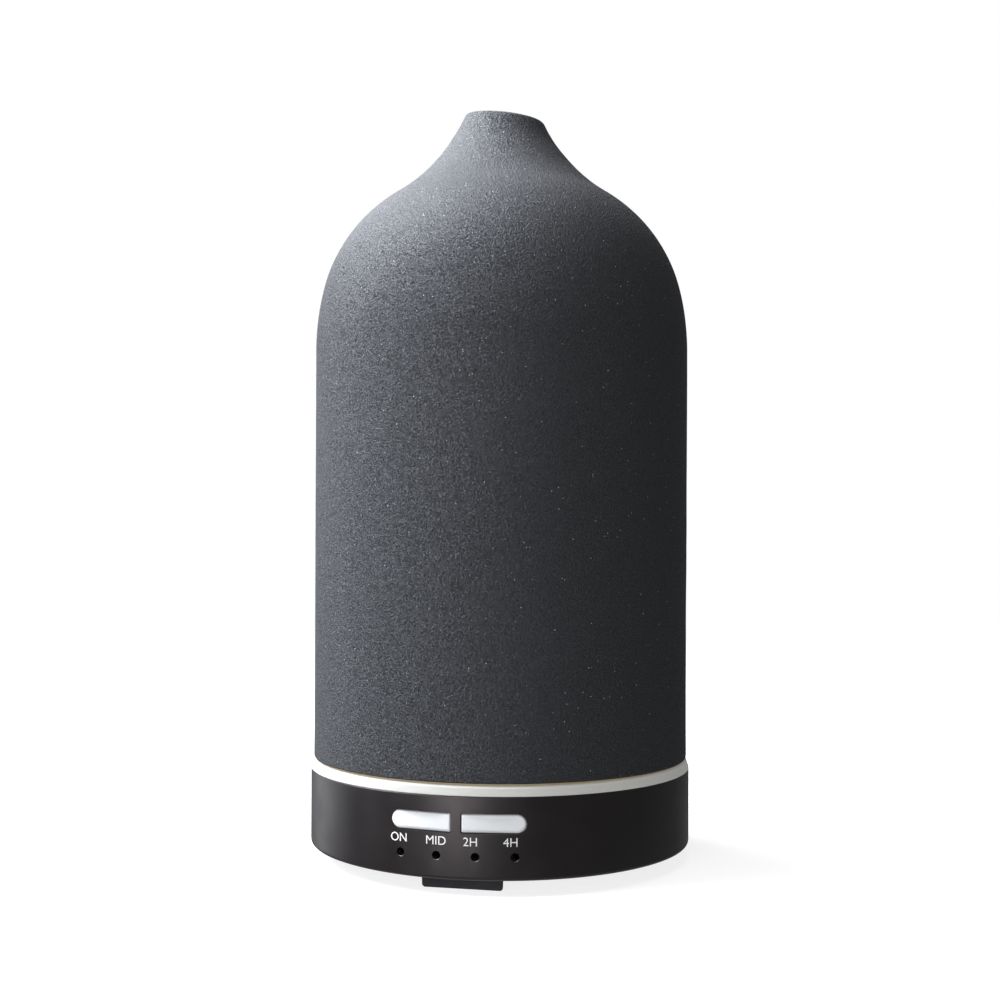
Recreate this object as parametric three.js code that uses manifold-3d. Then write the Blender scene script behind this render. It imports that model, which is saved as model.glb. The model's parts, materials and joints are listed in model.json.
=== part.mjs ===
// Essential oil diffuser: a slip-cast ceramic cover over an ultrasonic water tank on a round plastic base.
//
// Millimetres, +Z up. The origin is on the surface the feet stand on, on the axis of the body.
// -Y is the front, where the two buttons are; +Y is the back, where the power socket is.

import * as THREE from "three";
import { mergeVertices } from "three/addons/utils/BufferGeometryUtils.js";
import Module from "manifold-3d";

const wasm = await Module();
wasm.setup();

// ---------- driving dimensions ----------

const GAP = 0.05; // between pieces that rest on each other
const FOOT = { height: 3.5, halfWidth: 9.5, corner: 0.8, flare: 0.1, inner: 32, outer: 41 };

const BASE = { radius: 47.5, wall: 2.3, bottom: FOOT.height, top: 22, edge: 0.6, lip: 0.3 };
const BASE_INNER = BASE.radius - BASE.wall;
const PLATE = { radius: 45, bottom: BASE.bottom, top: BASE.bottom + 2.25 };
const RING = { inner: 39.5, outer: BASE.radius, shoulder: 46.4, bottom: BASE.top + GAP, top: 24.25 };
const LEDGE = { inner: 43.9, bottom: 19.3 }; // inside the wall, under the ring of lights

// The cover's outline is a straight wall, two convex arcs and one concave arc, each tangent to the last.
// Angles are the outline's lean from vertical at the end of each arc.
const COVER = {
  radius: 46.8,
  wall: 3.6,
  bottom: RING.top + GAP,
  shoulderStart: 125.5,
  arcs: [
    { radius: 63, lean: 14.1, bulge: 1, steps: 2 },
    { radius: 38.8, lean: 57, bulge: 1, steps: 6 },
    { radius: 50.8, lean: 25.5, bulge: -1, steps: 5 },
  ],
  footEdge: 0.7,
  mouthSlope: 0.19,
  mouthFallsTo: 51, // degrees from the front towards +X
  slopeStart: 174,
};

const TANK = { outer: 39, wall: 1.8, skirt: 22.6, floor: 25.5, floorThickness: 2, rim: 70 };
const TANK_INNER = TANK.outer - TANK.wall;
const TANK_FLANGE = { radius: 42.5, bottom: 24.85, top: 26.6 };
const AIR_TUBE = { x: -27, inner: 5.5, outer: 7, top: 60 };
const PIEZO = {
  window: 8,
  disc: 10,
  low: 23.5,
  high: 24.8,
  seat: 11.4,
  boss: 14,
  bossBottom: 21.5,
  screwCircle: 12.7,
};
const GASKET = { inner: 8.2, outer: 11.2, bottom: 22.9 };
const RETAINER = { inner: 8.5, neck: 11.1, thickness: 1.2 };
const LID = {
  rim: 39.2,
  skirtGap: 0.6,
  skirtBottom: 64,
  chimney: 8,
  bore: 6.6,
  domeFoot: 71.7,
  domeTop: 84,
  top: 92,
  wall: 1.6,
};

const FAN = { x: -23.5, size: 30, corner: 2, bottom: PLATE.top + 0.1, height: 8, bore: 14, screwOffset: 12 };
const FAN_TOP = FAN.bottom + FAN.height;
const FAN_MOUNT = { radius: 6.5, thickness: 1.2, strutHalf: 0.9, sleeve: 2.4, bearing: 1.75 };
const ROTOR = { hub: 6.4, hubInner: 5.5, hubFloor: 1.2, shaft: 0.75, blades: 7, bladePitch: 42 };
const DUCT = { wide: 13.9, narrow: 7.4, wall: 1 };
const BOARD = { bottom: 7.5, top: 9.1, radius: 43.5, left: -5.5, front: -33 };
const LED_BOARD = { inner: 37.8, outer: 45, bottom: 19.8, top: 20.8, ledCircle: 41.6, leds: 12 };

const PANEL = { slotZ: 16.05, slotHalf: 15.5, slotRadius: 2.2, divider: 1.05, recess: 0.4, buttonGap: 0.2 };
const BUTTON = { faceRadius: 46.9, middle: 8.3 };
const BUTTON_FLANGE = { front: -41.3, back: -40.4, halfHeight: 2.85, near: 0.5, far: 17.2 };
const BUTTON_BOARD = { front: -36, thickness: 1.2, halfWidth: 17.5, bottom: 5.95, top: 19.2 };
const STATUS_LED = { z: 8.8, xs: [-13, -4.4, 4.4, 13], hole: 0.9, radius: 1.45, tip: -39.6 };
const SWITCH = { size: 6, front: -39.15, bore: 1.9, plunger: 1.7 };
const SOCKET = { z: 14.1, wallHole: 4.3, collar: 4, bore: 3, boreDepth: 12, face: 46.9 };
const SOCKET_PIN = { radius: 1, depth: 4.6 };
const SOCKET_BODY = { halfWidth: 4.6, back: 30.5, shoulder: 44.7, top: 19.05 };

const CASE_SCREW = { circle: 34, angles: [55, -55, 160, -160], shaft: 1.4, head: 2.9, post: 3.2, top: 18 };
const BOARD_SCREW = { shaft: 0.8, head: 1.7, headHeight: 1.1, post: 2.2 };
const BOARD_SCREW_PLACES = [[36.5, 4], [2, -29], [2, 22]];
const GRILLE = { count: 7, pitch: 3.3, halfWidth: 1, reach: 11.5 };

// What stands on the main board. Each height is counted from the surface under the feet.
const CAPACITORS = {
  main_capacitor: { x: 31, y: 9, radius: 4, top: 20, facets: 16 },
  small_capacitor: { x: 24, y: 22, radius: 2.5, top: 16, facets: 10 },
};
const INDUCTOR = { x: 16, y: -24, flange: 5, waist: 3.6, windingTop: 15, top: 16.4 };
const HEAT_SINK = { x: 18, y: 10.5, halfWidth: 6, plate: 1.4, fins: 4, finPitch: 3, reach: 5, top: 18 };
const TRANSISTOR = { left: 13, right: 23, front: 5.6, back: 10.4, top: 17 };
const CHIP = { left: 4, right: 12, front: -14, back: -9, height: 1.7 };
const CONNECTOR_HEIGHT = 6;
const PIEZO_CONNECTOR = { left: 24, right: 29, front: -8, back: -2 };
const FAN_CONNECTOR = { left: -3, right: 2, front: -24, back: -18 };

// Facets round a full turn, by the size of the piece.
const ROUND = { large: 48, cover: 40, tank: 36, medium: 24, small: 16, tiny: 10 };

// ---------- materials ----------

const finish = (color, roughness, metalness = 0) =>
  new THREE.MeshStandardMaterial({ color, roughness, metalness });
const stoneware = finish(0x3a3b3d, 0.85);
const darkPlastic = finish(0x232325, 0.4);
const milkyPlastic = finish(0xecebe6, 0.35);
const whitePlastic = finish(0xe9e9e7, 0.45);
const rubber = finish(0x1d1f22, 0.8);
const silicone = finish(0xd6d3c8, 0.6);
const steel = finish(0xb4b6b8, 0.35, 1);
const brass = finish(0xc7a04d, 0.35, 1);
const copper = finish(0xb8683a, 0.4, 1);
const aluminium = finish(0xa9adb0, 0.4, 1);
const circuitBoard = finish(0x1c5a36, 0.5);
const blackMoulding = finish(0x18181a, 0.6);
const piezoCeramic = finish(0xc9c3b4, 0.4);
const redWire = finish(0xa82a22, 0.5);
const blackWire = finish(0x1a1a1a, 0.5);

// ---------- shape helpers ----------

const radians = THREE.MathUtils.degToRad;

function toSolid(geometry) {
  const bare = geometry.index ? geometry.toNonIndexed() : geometry.clone();
  bare.deleteAttribute("normal");
  bare.deleteAttribute("uv");
  const merged = mergeVertices(bare, 1e-4);
  const vertProperties = merged.attributes.position.array;
  const triVerts = new Uint32Array(merged.index.array);
  return new wasm.Manifold(new wasm.Mesh({ numProp: 3, vertProperties, triVerts }));
}

function toGeometry(solid) {
  const mesh = solid.getMesh();
  const geometry = new THREE.BufferGeometry();
  geometry.setAttribute("position", new THREE.BufferAttribute(mesh.vertProperties, 3));
  geometry.setIndex(new THREE.BufferAttribute(mesh.triVerts, 1));
  return geometry;
}

const combine = (operation) => (first, ...others) =>
  toGeometry(others.reduce((solid, other) => solid[operation](toSolid(other)), toSolid(first)));
const cut = combine("subtract");
const join = combine("add");
const common = combine("intersect");

const mirrored = (points) => points.map(([x, y]) => [-x, y]).reverse();

// A solid of revolution about Z from a closed outline of [radius, z] points, listed counter-clockwise.
function turned(outline, facets) {
  const points = [...outline, outline[0]].map(([r, z]) => new THREE.Vector2(r, z));
  return new THREE.LatheGeometry(points, facets).rotateX(Math.PI / 2);
}

// A plain ring, or a disc or post when inner is 0.
function ring(inner, outer, bottom, top, facets) {
  if (inner > 0) return turned([[inner, bottom], [outer, bottom], [outer, top], [inner, top]], facets);
  return new THREE.CylinderGeometry(outer, outer, top - bottom, facets)
    .rotateX(Math.PI / 2)
    .translate(0, 0, (bottom + top) / 2);
}

const post = (x, y, radius, bottom, top, facets) => ring(0, radius, bottom, top, facets).translate(x, y, 0);

// A round bar along Y, from the front y to the back y.
const bar = (x, z, radius, front, back, facets) =>
  new THREE.CylinderGeometry(radius, radius, back - front, facets).translate(x, (front + back) / 2, z);

function block(left, right, front, back, bottom, top) {
  return new THREE.BoxGeometry(right - left, back - front, top - bottom).translate(
    (left + right) / 2,
    (front + back) / 2,
    (bottom + top) / 2,
  );
}

function arcPoints(x, y, radius, fromDegrees, toDegrees, steps) {
  return Array.from({ length: steps + 1 }, (_, i) => {
    const angle = radians(fromDegrees + ((toDegrees - fromDegrees) * i) / steps);
    return [x + radius * Math.cos(angle), y + radius * Math.sin(angle)];
  });
}

const shapeOf = (points) => new THREE.Shape(points.map(([x, y]) => new THREE.Vector2(x, y)));

// A plate: an outline in X and Y, standing from bottom to top.
const plate = (points, bottom, top) =>
  new THREE.ExtrudeGeometry(shapeOf(points), { depth: top - bottom, bevelEnabled: false })
    .translate(0, 0, bottom);

// A key: an outline in X and Z, running from the front y to the back y.
const key = (points, front, back) =>
  new THREE.ExtrudeGeometry(shapeOf(points), { depth: back - front, bevelEnabled: false })
    .rotateX(Math.PI / 2)
    .translate(0, back, 0);

function roundedRectangle(halfX, halfY, corner, steps) {
  return [
    ...arcPoints(halfX - corner, halfY - corner, corner, 0, 90, steps),
    ...arcPoints(corner - halfX, halfY - corner, corner, 90, 180, steps),
    ...arcPoints(corner - halfX, corner - halfY, corner, 180, 270, steps),
    ...arcPoints(halfX - corner, corner - halfY, corner, 270, 360, steps),
  ];
}

// [x, y] at a distance from the axis, with the angle counted from the front towards +X.
const aroundAxis = (radius, degrees) => [
  radius * Math.sin(radians(degrees)),
  -radius * Math.cos(radians(degrees)),
];

const part = new THREE.Group();

function add(name, geometry, material) {
  const mesh = new THREE.Mesh(geometry, material);
  mesh.name = name;
  part.add(mesh);
  return mesh;
}

// A pan-head screw on a vertical axis. headUp puts its head at the top end.
function screw(name, x, y, seat, tip, shaft, head, headHeight) {
  const up = seat > tip;
  const [low, high] = up ? [tip, seat] : [seat, tip];
  const cap = up ? [seat, seat + headHeight] : [seat - headHeight, seat];
  const solid = join(post(x, y, shaft, low, high, ROUND.tiny), post(x, y, head, ...cap, ROUND.tiny));
  add(name, solid, steel);
}

// ---------- ceramic cover ----------

// The cover's wall seen in section, moved inwards by inset, from the foot to the mouth.
function coverWall(inset) {
  const points = [[COVER.radius - inset, COVER.shoulderStart]];
  let lean = 0;
  for (const arc of COVER.arcs) {
    const radius = arc.radius - arc.bulge * inset;
    const [r, z] = points.at(-1);
    const centre = [
      r - arc.bulge * radius * Math.cos(radians(lean)),
      z - arc.bulge * radius * Math.sin(radians(lean)),
    ];
    for (let i = 1; i <= arc.steps; i++) {
      const angle = radians(lean + ((arc.lean - lean) * i) / arc.steps);
      points.push([
        centre[0] + arc.bulge * radius * Math.cos(angle),
        centre[1] + arc.bulge * radius * Math.sin(angle),
      ]);
    }
    lean = arc.lean;
  }
  return points;
}

// Slants the mouth: the neck grows longer along its own lean on one side and shorter on the other.
// Nothing moves below slopeStart, and the rim moves by the full slope.
function slantMouth(geometry, rim) {
  const position = geometry.attributes.position;
  const [fallX, fallY] = aroundAxis(COVER.mouthSlope, COVER.mouthFallsTo);
  const lean = Math.tan(radians(COVER.arcs.at(-1).lean));
  for (let i = 0; i < position.count; i++) {
    const [x, y, z] = [position.getX(i), position.getY(i), position.getZ(i)];
    const rise = -(fallX * x + fallY * y) * THREE.MathUtils.smoothstep(z, COVER.slopeStart, rim);
    const shrink = 1 - (rise * lean) / Math.hypot(x, y);
    position.setXYZ(i, x * shrink, y * shrink, z + rise);
  }
  return geometry;
}

function ceramicCover() {
  const outside = coverWall(0);
  const inside = coverWall(COVER.wall).reverse();
  const [outerEnd, innerEnd] = [outside.at(-1), inside[0]];
  const lip = [(outerEnd[0] + innerEnd[0]) / 2, (outerEnd[1] + innerEnd[1]) / 2];
  const lean = COVER.arcs.at(-1).lean;
  const rim = arcPoints(...lip, COVER.wall / 2, lean, lean + 180, 5).slice(1, -1);
  const { footEdge: edge, bottom } = COVER;
  const inner = COVER.radius - COVER.wall;
  const foot = [
    ...arcPoints(inner + edge, bottom + edge, edge, 180, 270, 2),
    ...arcPoints(COVER.radius - edge, bottom + edge, edge, -90, 0, 2),
  ];
  const rimTop = Math.max(...rim.map(([, z]) => z));
  const body = turned([...foot, ...outside, ...rim, ...inside], ROUND.cover);
  add("ceramic_cover", slantMouth(body, rimTop), stoneware);
}

// ---------- inner lid ----------

// A quarter of an ellipse from the dome's foot up to the chimney.
function domeCurve(inset, steps) {
  const run = LID.rim - LID.chimney;
  const rise = LID.domeTop - LID.domeFoot;
  return Array.from({ length: steps + 1 }, (_, i) => {
    const angle = (Math.PI / 2) * (i / steps);
    return [LID.chimney + (run - inset) * Math.cos(angle), LID.domeFoot - inset + rise * Math.sin(angle)];
  });
}

function innerLid() {
  const rimBottom = TANK.rim + 0.15;
  const { skirtBottom } = LID;
  const skirtOuter = TANK_INNER - LID.skirtGap;
  const skirtInner = skirtOuter - LID.wall;
  const underside = domeCurve(LID.wall, 5)
    .filter(([r]) => r < skirtInner - 0.5 && r > LID.chimney + 0.1)
    .reverse();
  const outline = [
    [LID.bore, LID.domeTop - LID.wall],
    ...underside,
    [skirtInner, rimBottom],
    [skirtInner, skirtBottom],
    [skirtOuter, skirtBottom],
    [skirtOuter, rimBottom],
    [LID.rim, rimBottom],
    ...domeCurve(0, 6),
    [LID.chimney, LID.top - 0.5],
    [LID.chimney - 0.5, LID.top],
    [LID.bore, LID.top],
  ];
  add("inner_lid", turned(outline, ROUND.tank), whitePlastic);
}

// ---------- water tank ----------

const casePosts = CASE_SCREW.angles.map((angle) => aroundAxis(CASE_SCREW.circle, angle));
const retainerScrews = [90, 210, 330].map((angle) => aroundAxis(PIEZO.screwCircle, angle));

function waterTank() {
  const floorTop = TANK.floor + TANK.floorThickness;
  const cup = turned(
    [
      [PIEZO.window, TANK.floor],
      [PIEZO.seat, TANK.floor],
      [PIEZO.seat, PIEZO.bossBottom],
      [PIEZO.boss, PIEZO.bossBottom],
      [PIEZO.boss, TANK.floor],
      [37, TANK.floor],
      [37, TANK.skirt],
      [TANK.outer, TANK.skirt],
      [TANK.outer, TANK_FLANGE.bottom],
      [TANK_FLANGE.radius, TANK_FLANGE.bottom],
      [TANK_FLANGE.radius, TANK_FLANGE.top],
      [TANK.outer, TANK_FLANGE.top],
      [TANK.outer, TANK.rim],
      [TANK_INNER, TANK.rim],
      [TANK_INNER, floorTop],
      [PIEZO.window, floorTop],
    ],
    ROUND.tank,
  );
  const tube = post(AIR_TUBE.x, 0, AIR_TUBE.outer, TANK.floor + 0.5, AIR_TUBE.top, ROUND.small);
  const posts = casePosts.map(([x, y]) =>
    post(x, y, CASE_SCREW.post, PLATE.top + 0.1, TANK.floor + 0.5, ROUND.tiny),
  );
  const holes = [
    post(AIR_TUBE.x, 0, AIR_TUBE.inner, TANK.floor - 1, AIR_TUBE.top + 1, ROUND.small),
    ...casePosts.map(([x, y]) =>
      post(x, y, CASE_SCREW.shaft + 0.1, PLATE.top - 1, CASE_SCREW.top + 1, ROUND.tiny),
    ),
    ...retainerScrews.map(([x, y]) => post(x, y, 0.9, PIEZO.bossBottom - 1, TANK.floor - 0.5, ROUND.tiny)),
  ];
  add("water_tank", cut(join(cup, tube, ...posts), ...holes), whitePlastic);
}

function ultrasonicDisc() {
  const top = TANK.floor - 0.1;
  const groove = PIEZO.disc + 0.1;
  const gasket = [
    [GASKET.inner, GASKET.bottom],
    [GASKET.outer, GASKET.bottom],
    [GASKET.outer, top],
    [GASKET.inner, top],
    [GASKET.inner, PIEZO.high],
    [groove, PIEZO.high],
    [groove, PIEZO.low],
    [GASKET.inner, PIEZO.low],
  ];
  add("piezo_gasket", turned(gasket, ROUND.medium), silicone);
  add("piezo_disc", ring(0, PIEZO.disc, PIEZO.low + GAP, PIEZO.high - GAP, ROUND.medium), piezoCeramic);

  const seat = PIEZO.bossBottom - 0.1;
  const underside = seat - RETAINER.thickness;
  const retainer = [
    [RETAINER.inner, underside],
    [PIEZO.boss, underside],
    [PIEZO.boss, seat],
    [RETAINER.neck, seat],
    [RETAINER.neck, GASKET.bottom - GAP],
    [RETAINER.inner, GASKET.bottom - GAP],
  ];
  const holes = retainerScrews.map(([x, y]) => post(x, y, 0.95, seat - 2, seat + 1, ROUND.tiny));
  add("piezo_retainer", cut(turned(retainer, ROUND.medium), ...holes), steel);
  const [shaft, head, headHeight] = [0.75, 1.25, 0.9];
  retainerScrews.forEach(([x, y], i) =>
    screw(`retainer_screw_${i + 1}`, x, y, underside - GAP, TANK.floor - 1, shaft, head, headHeight),
  );
}

// ---------- base ----------

// The pill-shaped outline of the button slot, in X and Z, grown by a margin.
function pill(margin) {
  const end = PANEL.slotHalf - PANEL.slotRadius;
  const radius = PANEL.slotRadius + margin;
  return [
    ...arcPoints(end, PANEL.slotZ, radius, -90, 90, 8),
    ...arcPoints(-end, PANEL.slotZ, radius, 90, 270, 8),
  ];
}

// One half of the pill, from its round end to a square end beside the divider, on the +X side.
function halfPill(margin) {
  const end = PANEL.slotHalf - PANEL.slotRadius;
  const radius = PANEL.slotRadius + margin;
  const inner = PANEL.divider - margin;
  return [
    [inner, PANEL.slotZ - radius],
    ...arcPoints(end, PANEL.slotZ, radius, -90, 90, 8),
    [inner, PANEL.slotZ + radius],
  ];
}

function baseHousing() {
  const { radius, bottom, top, edge, lip } = BASE;
  const ledgeTop = LED_BOARD.bottom - GAP;
  const shell = turned(
    [
      [BASE_INNER, bottom],
      ...arcPoints(radius - edge, bottom + edge, edge, -90, 0, 2),
      ...arcPoints(radius - lip, top - lip, lip, 0, 90, 1),
      [BASE_INNER, top],
      [BASE_INNER, ledgeTop],
      [LEDGE.inner, ledgeTop],
      [LEDGE.inner, LEDGE.bottom],
      [BASE_INNER, LEDGE.bottom],
    ],
    ROUND.large,
  );
  const recess = common(
    key(pill(0.3), -radius - 1, -radius + 8),
    ring(radius - PANEL.recess, radius + 2, bottom, top, ROUND.large),
  );
  const windows = [halfPill(0), mirrored(halfPill(0))].map((outline) => key(outline, -radius - 1, -30));
  const ledHoles = STATUS_LED.xs.map((x) =>
    bar(x, STATUS_LED.z, STATUS_LED.hole, -radius - 1, -30, ROUND.tiny),
  );
  const socketHole = bar(0, SOCKET.z, SOCKET.wallHole, 30, radius + 1, ROUND.small);
  add("base_housing", cut(shell, recess, ...windows, ...ledHoles, socketHole), darkPlastic);
}

// Parallel air slots that fill a circle under the fan.
function intakeSlots() {
  const { count, pitch, halfWidth, reach } = GRILLE;
  return Array.from({ length: count }, (_, i) => {
    const offset = (i - (count - 1) / 2) * pitch;
    const half = Math.sqrt(reach ** 2 - offset ** 2);
    const outline = [
      ...arcPoints(FAN.x + offset, half - halfWidth, halfWidth, 0, 180, 3),
      ...arcPoints(FAN.x + offset, halfWidth - half, halfWidth, 180, 360, 3),
    ];
    return plate(outline, PLATE.bottom - 1, PLATE.top + 1);
  });
}

function bottomCover() {
  const disc = ring(0, PLATE.radius, PLATE.bottom, PLATE.top, ROUND.large);
  const boardPosts = BOARD_SCREW_PLACES.map(([x, y]) =>
    post(x, y, BOARD_SCREW.post, PLATE.top - 0.5, BOARD.bottom - GAP, ROUND.tiny),
  );
  const { front, thickness, halfWidth } = BUTTON_BOARD;
  const guideTop = 15;
  const guides = [-1, 1].map((side) => {
    const sorted = (a, b) => [Math.min(a, b), Math.max(a, b)];
    const width = sorted(side * (halfWidth - 1), side * (halfWidth + 2));
    const grooveWidth = sorted(side * (halfWidth - 2), side * (halfWidth + 0.3));
    const rail = block(...width, front - 1.2, front + 2.6, PLATE.top - 0.5, guideTop);
    return cut(rail, block(...grooveWidth, front - 0.15, front + thickness + 0.15, PLATE.top, guideTop + 1));
  });
  const holes = [
    ...intakeSlots(),
    ...casePosts.map(([x, y]) => post(x, y, CASE_SCREW.shaft + 0.3, 0, PLATE.top + 1, ROUND.tiny)),
    ...casePosts.map(([x, y]) => post(x, y, CASE_SCREW.head + 0.3, 0, PLATE.bottom + 1.2, ROUND.small)),
    ...BOARD_SCREW_PLACES.map(([x, y]) =>
      post(x, y, BOARD_SCREW.shaft + 0.1, PLATE.top, BOARD.bottom + 1, ROUND.tiny),
    ),
  ];
  add("bottom_cover", cut(join(disc, ...boardPosts, ...guides), ...holes), darkPlastic);
  casePosts.forEach(([x, y], i) => {
    const seat = PLATE.bottom + 1.2 - GAP;
    screw(`case_screw_${i + 1}`, x, y, seat, CASE_SCREW.top, CASE_SCREW.shaft, CASE_SCREW.head, 1);
  });
}

// Three rubber feet, the first one under the buttons. Each is a block with rounded lower corners, and its sides
// point at the axis, so it is narrower towards the middle.
function feet() {
  const { halfWidth, corner, flare, inner, outer } = FOOT;
  const top = BASE.bottom - GAP;
  const outline = [
    ...arcPoints(corner - halfWidth + flare, corner, corner, 180, 270, 4),
    ...arcPoints(halfWidth - corner - flare, corner, corner, 270, 360, 4),
    [halfWidth, top],
    [-halfWidth, top],
  ];
  const wedge = key(outline, -outer, -inner);
  const position = wedge.attributes.position;
  for (let i = 0; i < position.count; i++) {
    position.setX(i, (position.getX(i) * -position.getY(i)) / outer);
  }
  ["front", "right", "left"].forEach((side, i) => {
    add(`foot_${side}`, wedge.clone().rotateZ(radians(120 * i)), rubber);
  });
}

function lightRing() {
  const outline = [
    [RING.inner, RING.bottom],
    [RING.outer, RING.bottom],
    [RING.outer, RING.bottom + 0.5],
    [47.35, RING.bottom + 1.1],
    [47.0, RING.bottom + 1.7],
    [RING.shoulder, RING.top],
    [RING.inner, RING.top],
  ];
  add("light_ring", turned(outline, ROUND.large), milkyPlastic);
  add("tank_seal", ring(39.6, 42.3, RING.top + GAP, TANK_FLANGE.bottom - GAP, ROUND.tank), silicone);
}

// ---------- fan and air duct ----------

function fan() {
  const centre = (geometry) => geometry.translate(FAN.x, 0, 0);
  const frameBlock = plate(roundedRectangle(FAN.size / 2, FAN.size / 2, FAN.corner, 3), FAN.bottom, FAN_TOP);
  const offset = FAN.screwOffset;
  const corners = [[-offset, -offset], [offset, offset], [offset, -offset], [-offset, offset]];
  const cavity = ring(0, FAN.bore, FAN.bottom - 1, FAN_TOP + 1, ROUND.medium);
  const screwHoles = corners.map(([x, y]) => post(x, y, 1.5, FAN.bottom - 1, FAN_TOP + 1, ROUND.tiny));
  const { radius, thickness, strutHalf, sleeve: sleeveRadius, bearing } = FAN_MOUNT;
  const mountBottom = FAN_TOP - thickness;
  const struts = [0, 120, 240].map((angle) =>
    block(-strutHalf, strutHalf, 5, FAN.bore + 0.5, mountBottom, FAN_TOP).rotateZ(radians(angle)),
  );
  const mount = ring(0, radius, mountBottom, FAN_TOP, ROUND.small);
  const sleeve = ring(0, sleeveRadius, FAN.bottom + 2.2, mountBottom + 0.5, ROUND.small);
  const bearingHole = ring(0, bearing, FAN.bottom, FAN_TOP - 0.5, ROUND.small);
  const frame = cut(join(cut(frameBlock, cavity, ...screwHoles), mount, ...struts, sleeve), bearingHole);
  add("fan_frame", centre(frame), blackMoulding);
  const bush = ring(ROTOR.shaft + 0.1, bearing - 0.1, FAN.bottom + 2.3, FAN_TOP - 0.7, ROUND.tiny);
  add("fan_bearing", centre(bush), brass);
  add("fan_stator", centre(ring(2.55, 4.4, FAN.bottom + 2.6, mountBottom - 0.3, ROUND.small)), copper);
  corners.slice(0, 2).forEach(([x, y], i) => {
    const [shaft, head, headHeight] = [1.2, 2, 1];
    screw(`fan_screw_${i + 1}`, FAN.x + x, y, FAN_TOP + GAP, FAN.bottom + 0.5, shaft, head, headHeight);
  });
  fanRotor(centre, mountBottom);
}

// What spins: a cup-shaped hub with its blades, the magnet in the cup, and the shaft in the bearing.
function fanRotor(centre, mountBottom) {
  const { hub, hubInner, hubFloor, shaft } = ROTOR;
  const hubBottom = FAN.bottom + 0.6;
  const hubTop = mountBottom - 0.4;
  const shaftHole = shaft + 0.2;
  const cup = turned(
    [
      [shaftHole, hubBottom],
      [hub - 0.5, hubBottom],
      [hub, hubBottom + 0.5],
      [hub, hubTop],
      [hubInner, hubTop],
      [hubInner, hubBottom + hubFloor],
      [shaftHole, hubBottom + hubFloor],
    ],
    ROUND.small,
  );
  const blades = Array.from({ length: ROTOR.blades }, (_, i) =>
    new THREE.BoxGeometry(7.2, 0.9, 6.2)
      .rotateX(radians(ROTOR.bladePitch))
      .translate(9.8, 0, FAN.bottom + 3.3)
      .rotateZ(radians((360 * i) / ROTOR.blades)),
  );
  const magnet = ring(4.75, hubInner - 0.1, hubBottom + hubFloor + 0.2, hubTop - 0.1, ROUND.small);
  add("fan_impeller", centre(join(cup, ...blades)), blackMoulding);
  add("fan_magnet", centre(magnet), steel);
  add("fan_shaft", centre(ring(0, shaft, hubBottom + 0.1, FAN_TOP - 0.8, ROUND.tiny)), steel);
}

// A leaning funnel from the fan's round mouth up to the air tube in the tank floor.
function airDuct() {
  const [bottom, top] = [FAN_TOP + 1.2, TANK.floor - 0.2];
  const { wide, narrow, wall } = DUCT;
  const slant = (AIR_TUBE.x - FAN.x) / (top - bottom);
  const cone = (inset, extra) => {
    const spread = ((wide - narrow) / (top - bottom)) * extra;
    const solid = new THREE.CylinderGeometry(
      narrow - inset - spread,
      wide - inset + spread,
      top - bottom + 2 * extra,
      ROUND.medium,
    )
      .rotateX(Math.PI / 2)
      .translate(FAN.x, 0, (bottom + top) / 2);
    const shear = new THREE.Matrix4().makeShear(0, 0, 0, 0, slant, 0);
    return solid.applyMatrix4(shear).translate(-slant * bottom, 0, 0);
  };
  add("air_duct", cut(cone(0, 0), cone(wall, 0.5)), blackMoulding);
}

// ---------- circuit boards ----------

function mainBoard() {
  const { left, front, radius, bottom, top } = BOARD;
  const disc = ring(0, radius, bottom, top, ROUND.tank);
  const area = block(left, radius + 1, front, radius + 1, bottom - 1, top + 1);
  const holes = [
    ...casePosts.map(([x, y]) => post(x, y, CASE_SCREW.post + 0.5, bottom - 1, top + 1, ROUND.small)),
    ...BOARD_SCREW_PLACES.map(([x, y]) =>
      post(x, y, BOARD_SCREW.shaft + 0.3, bottom - 1, top + 1, ROUND.tiny),
    ),
  ];
  add("main_board", cut(common(disc, area), ...holes), circuitBoard);
  const { shaft, head, headHeight } = BOARD_SCREW;
  BOARD_SCREW_PLACES.forEach(([x, y], i) =>
    screw(`board_screw_${i + 1}`, x, y, top + GAP, PLATE.top + 0.2, shaft, head, headHeight),
  );
  boardComponents(top + GAP);
}

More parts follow.
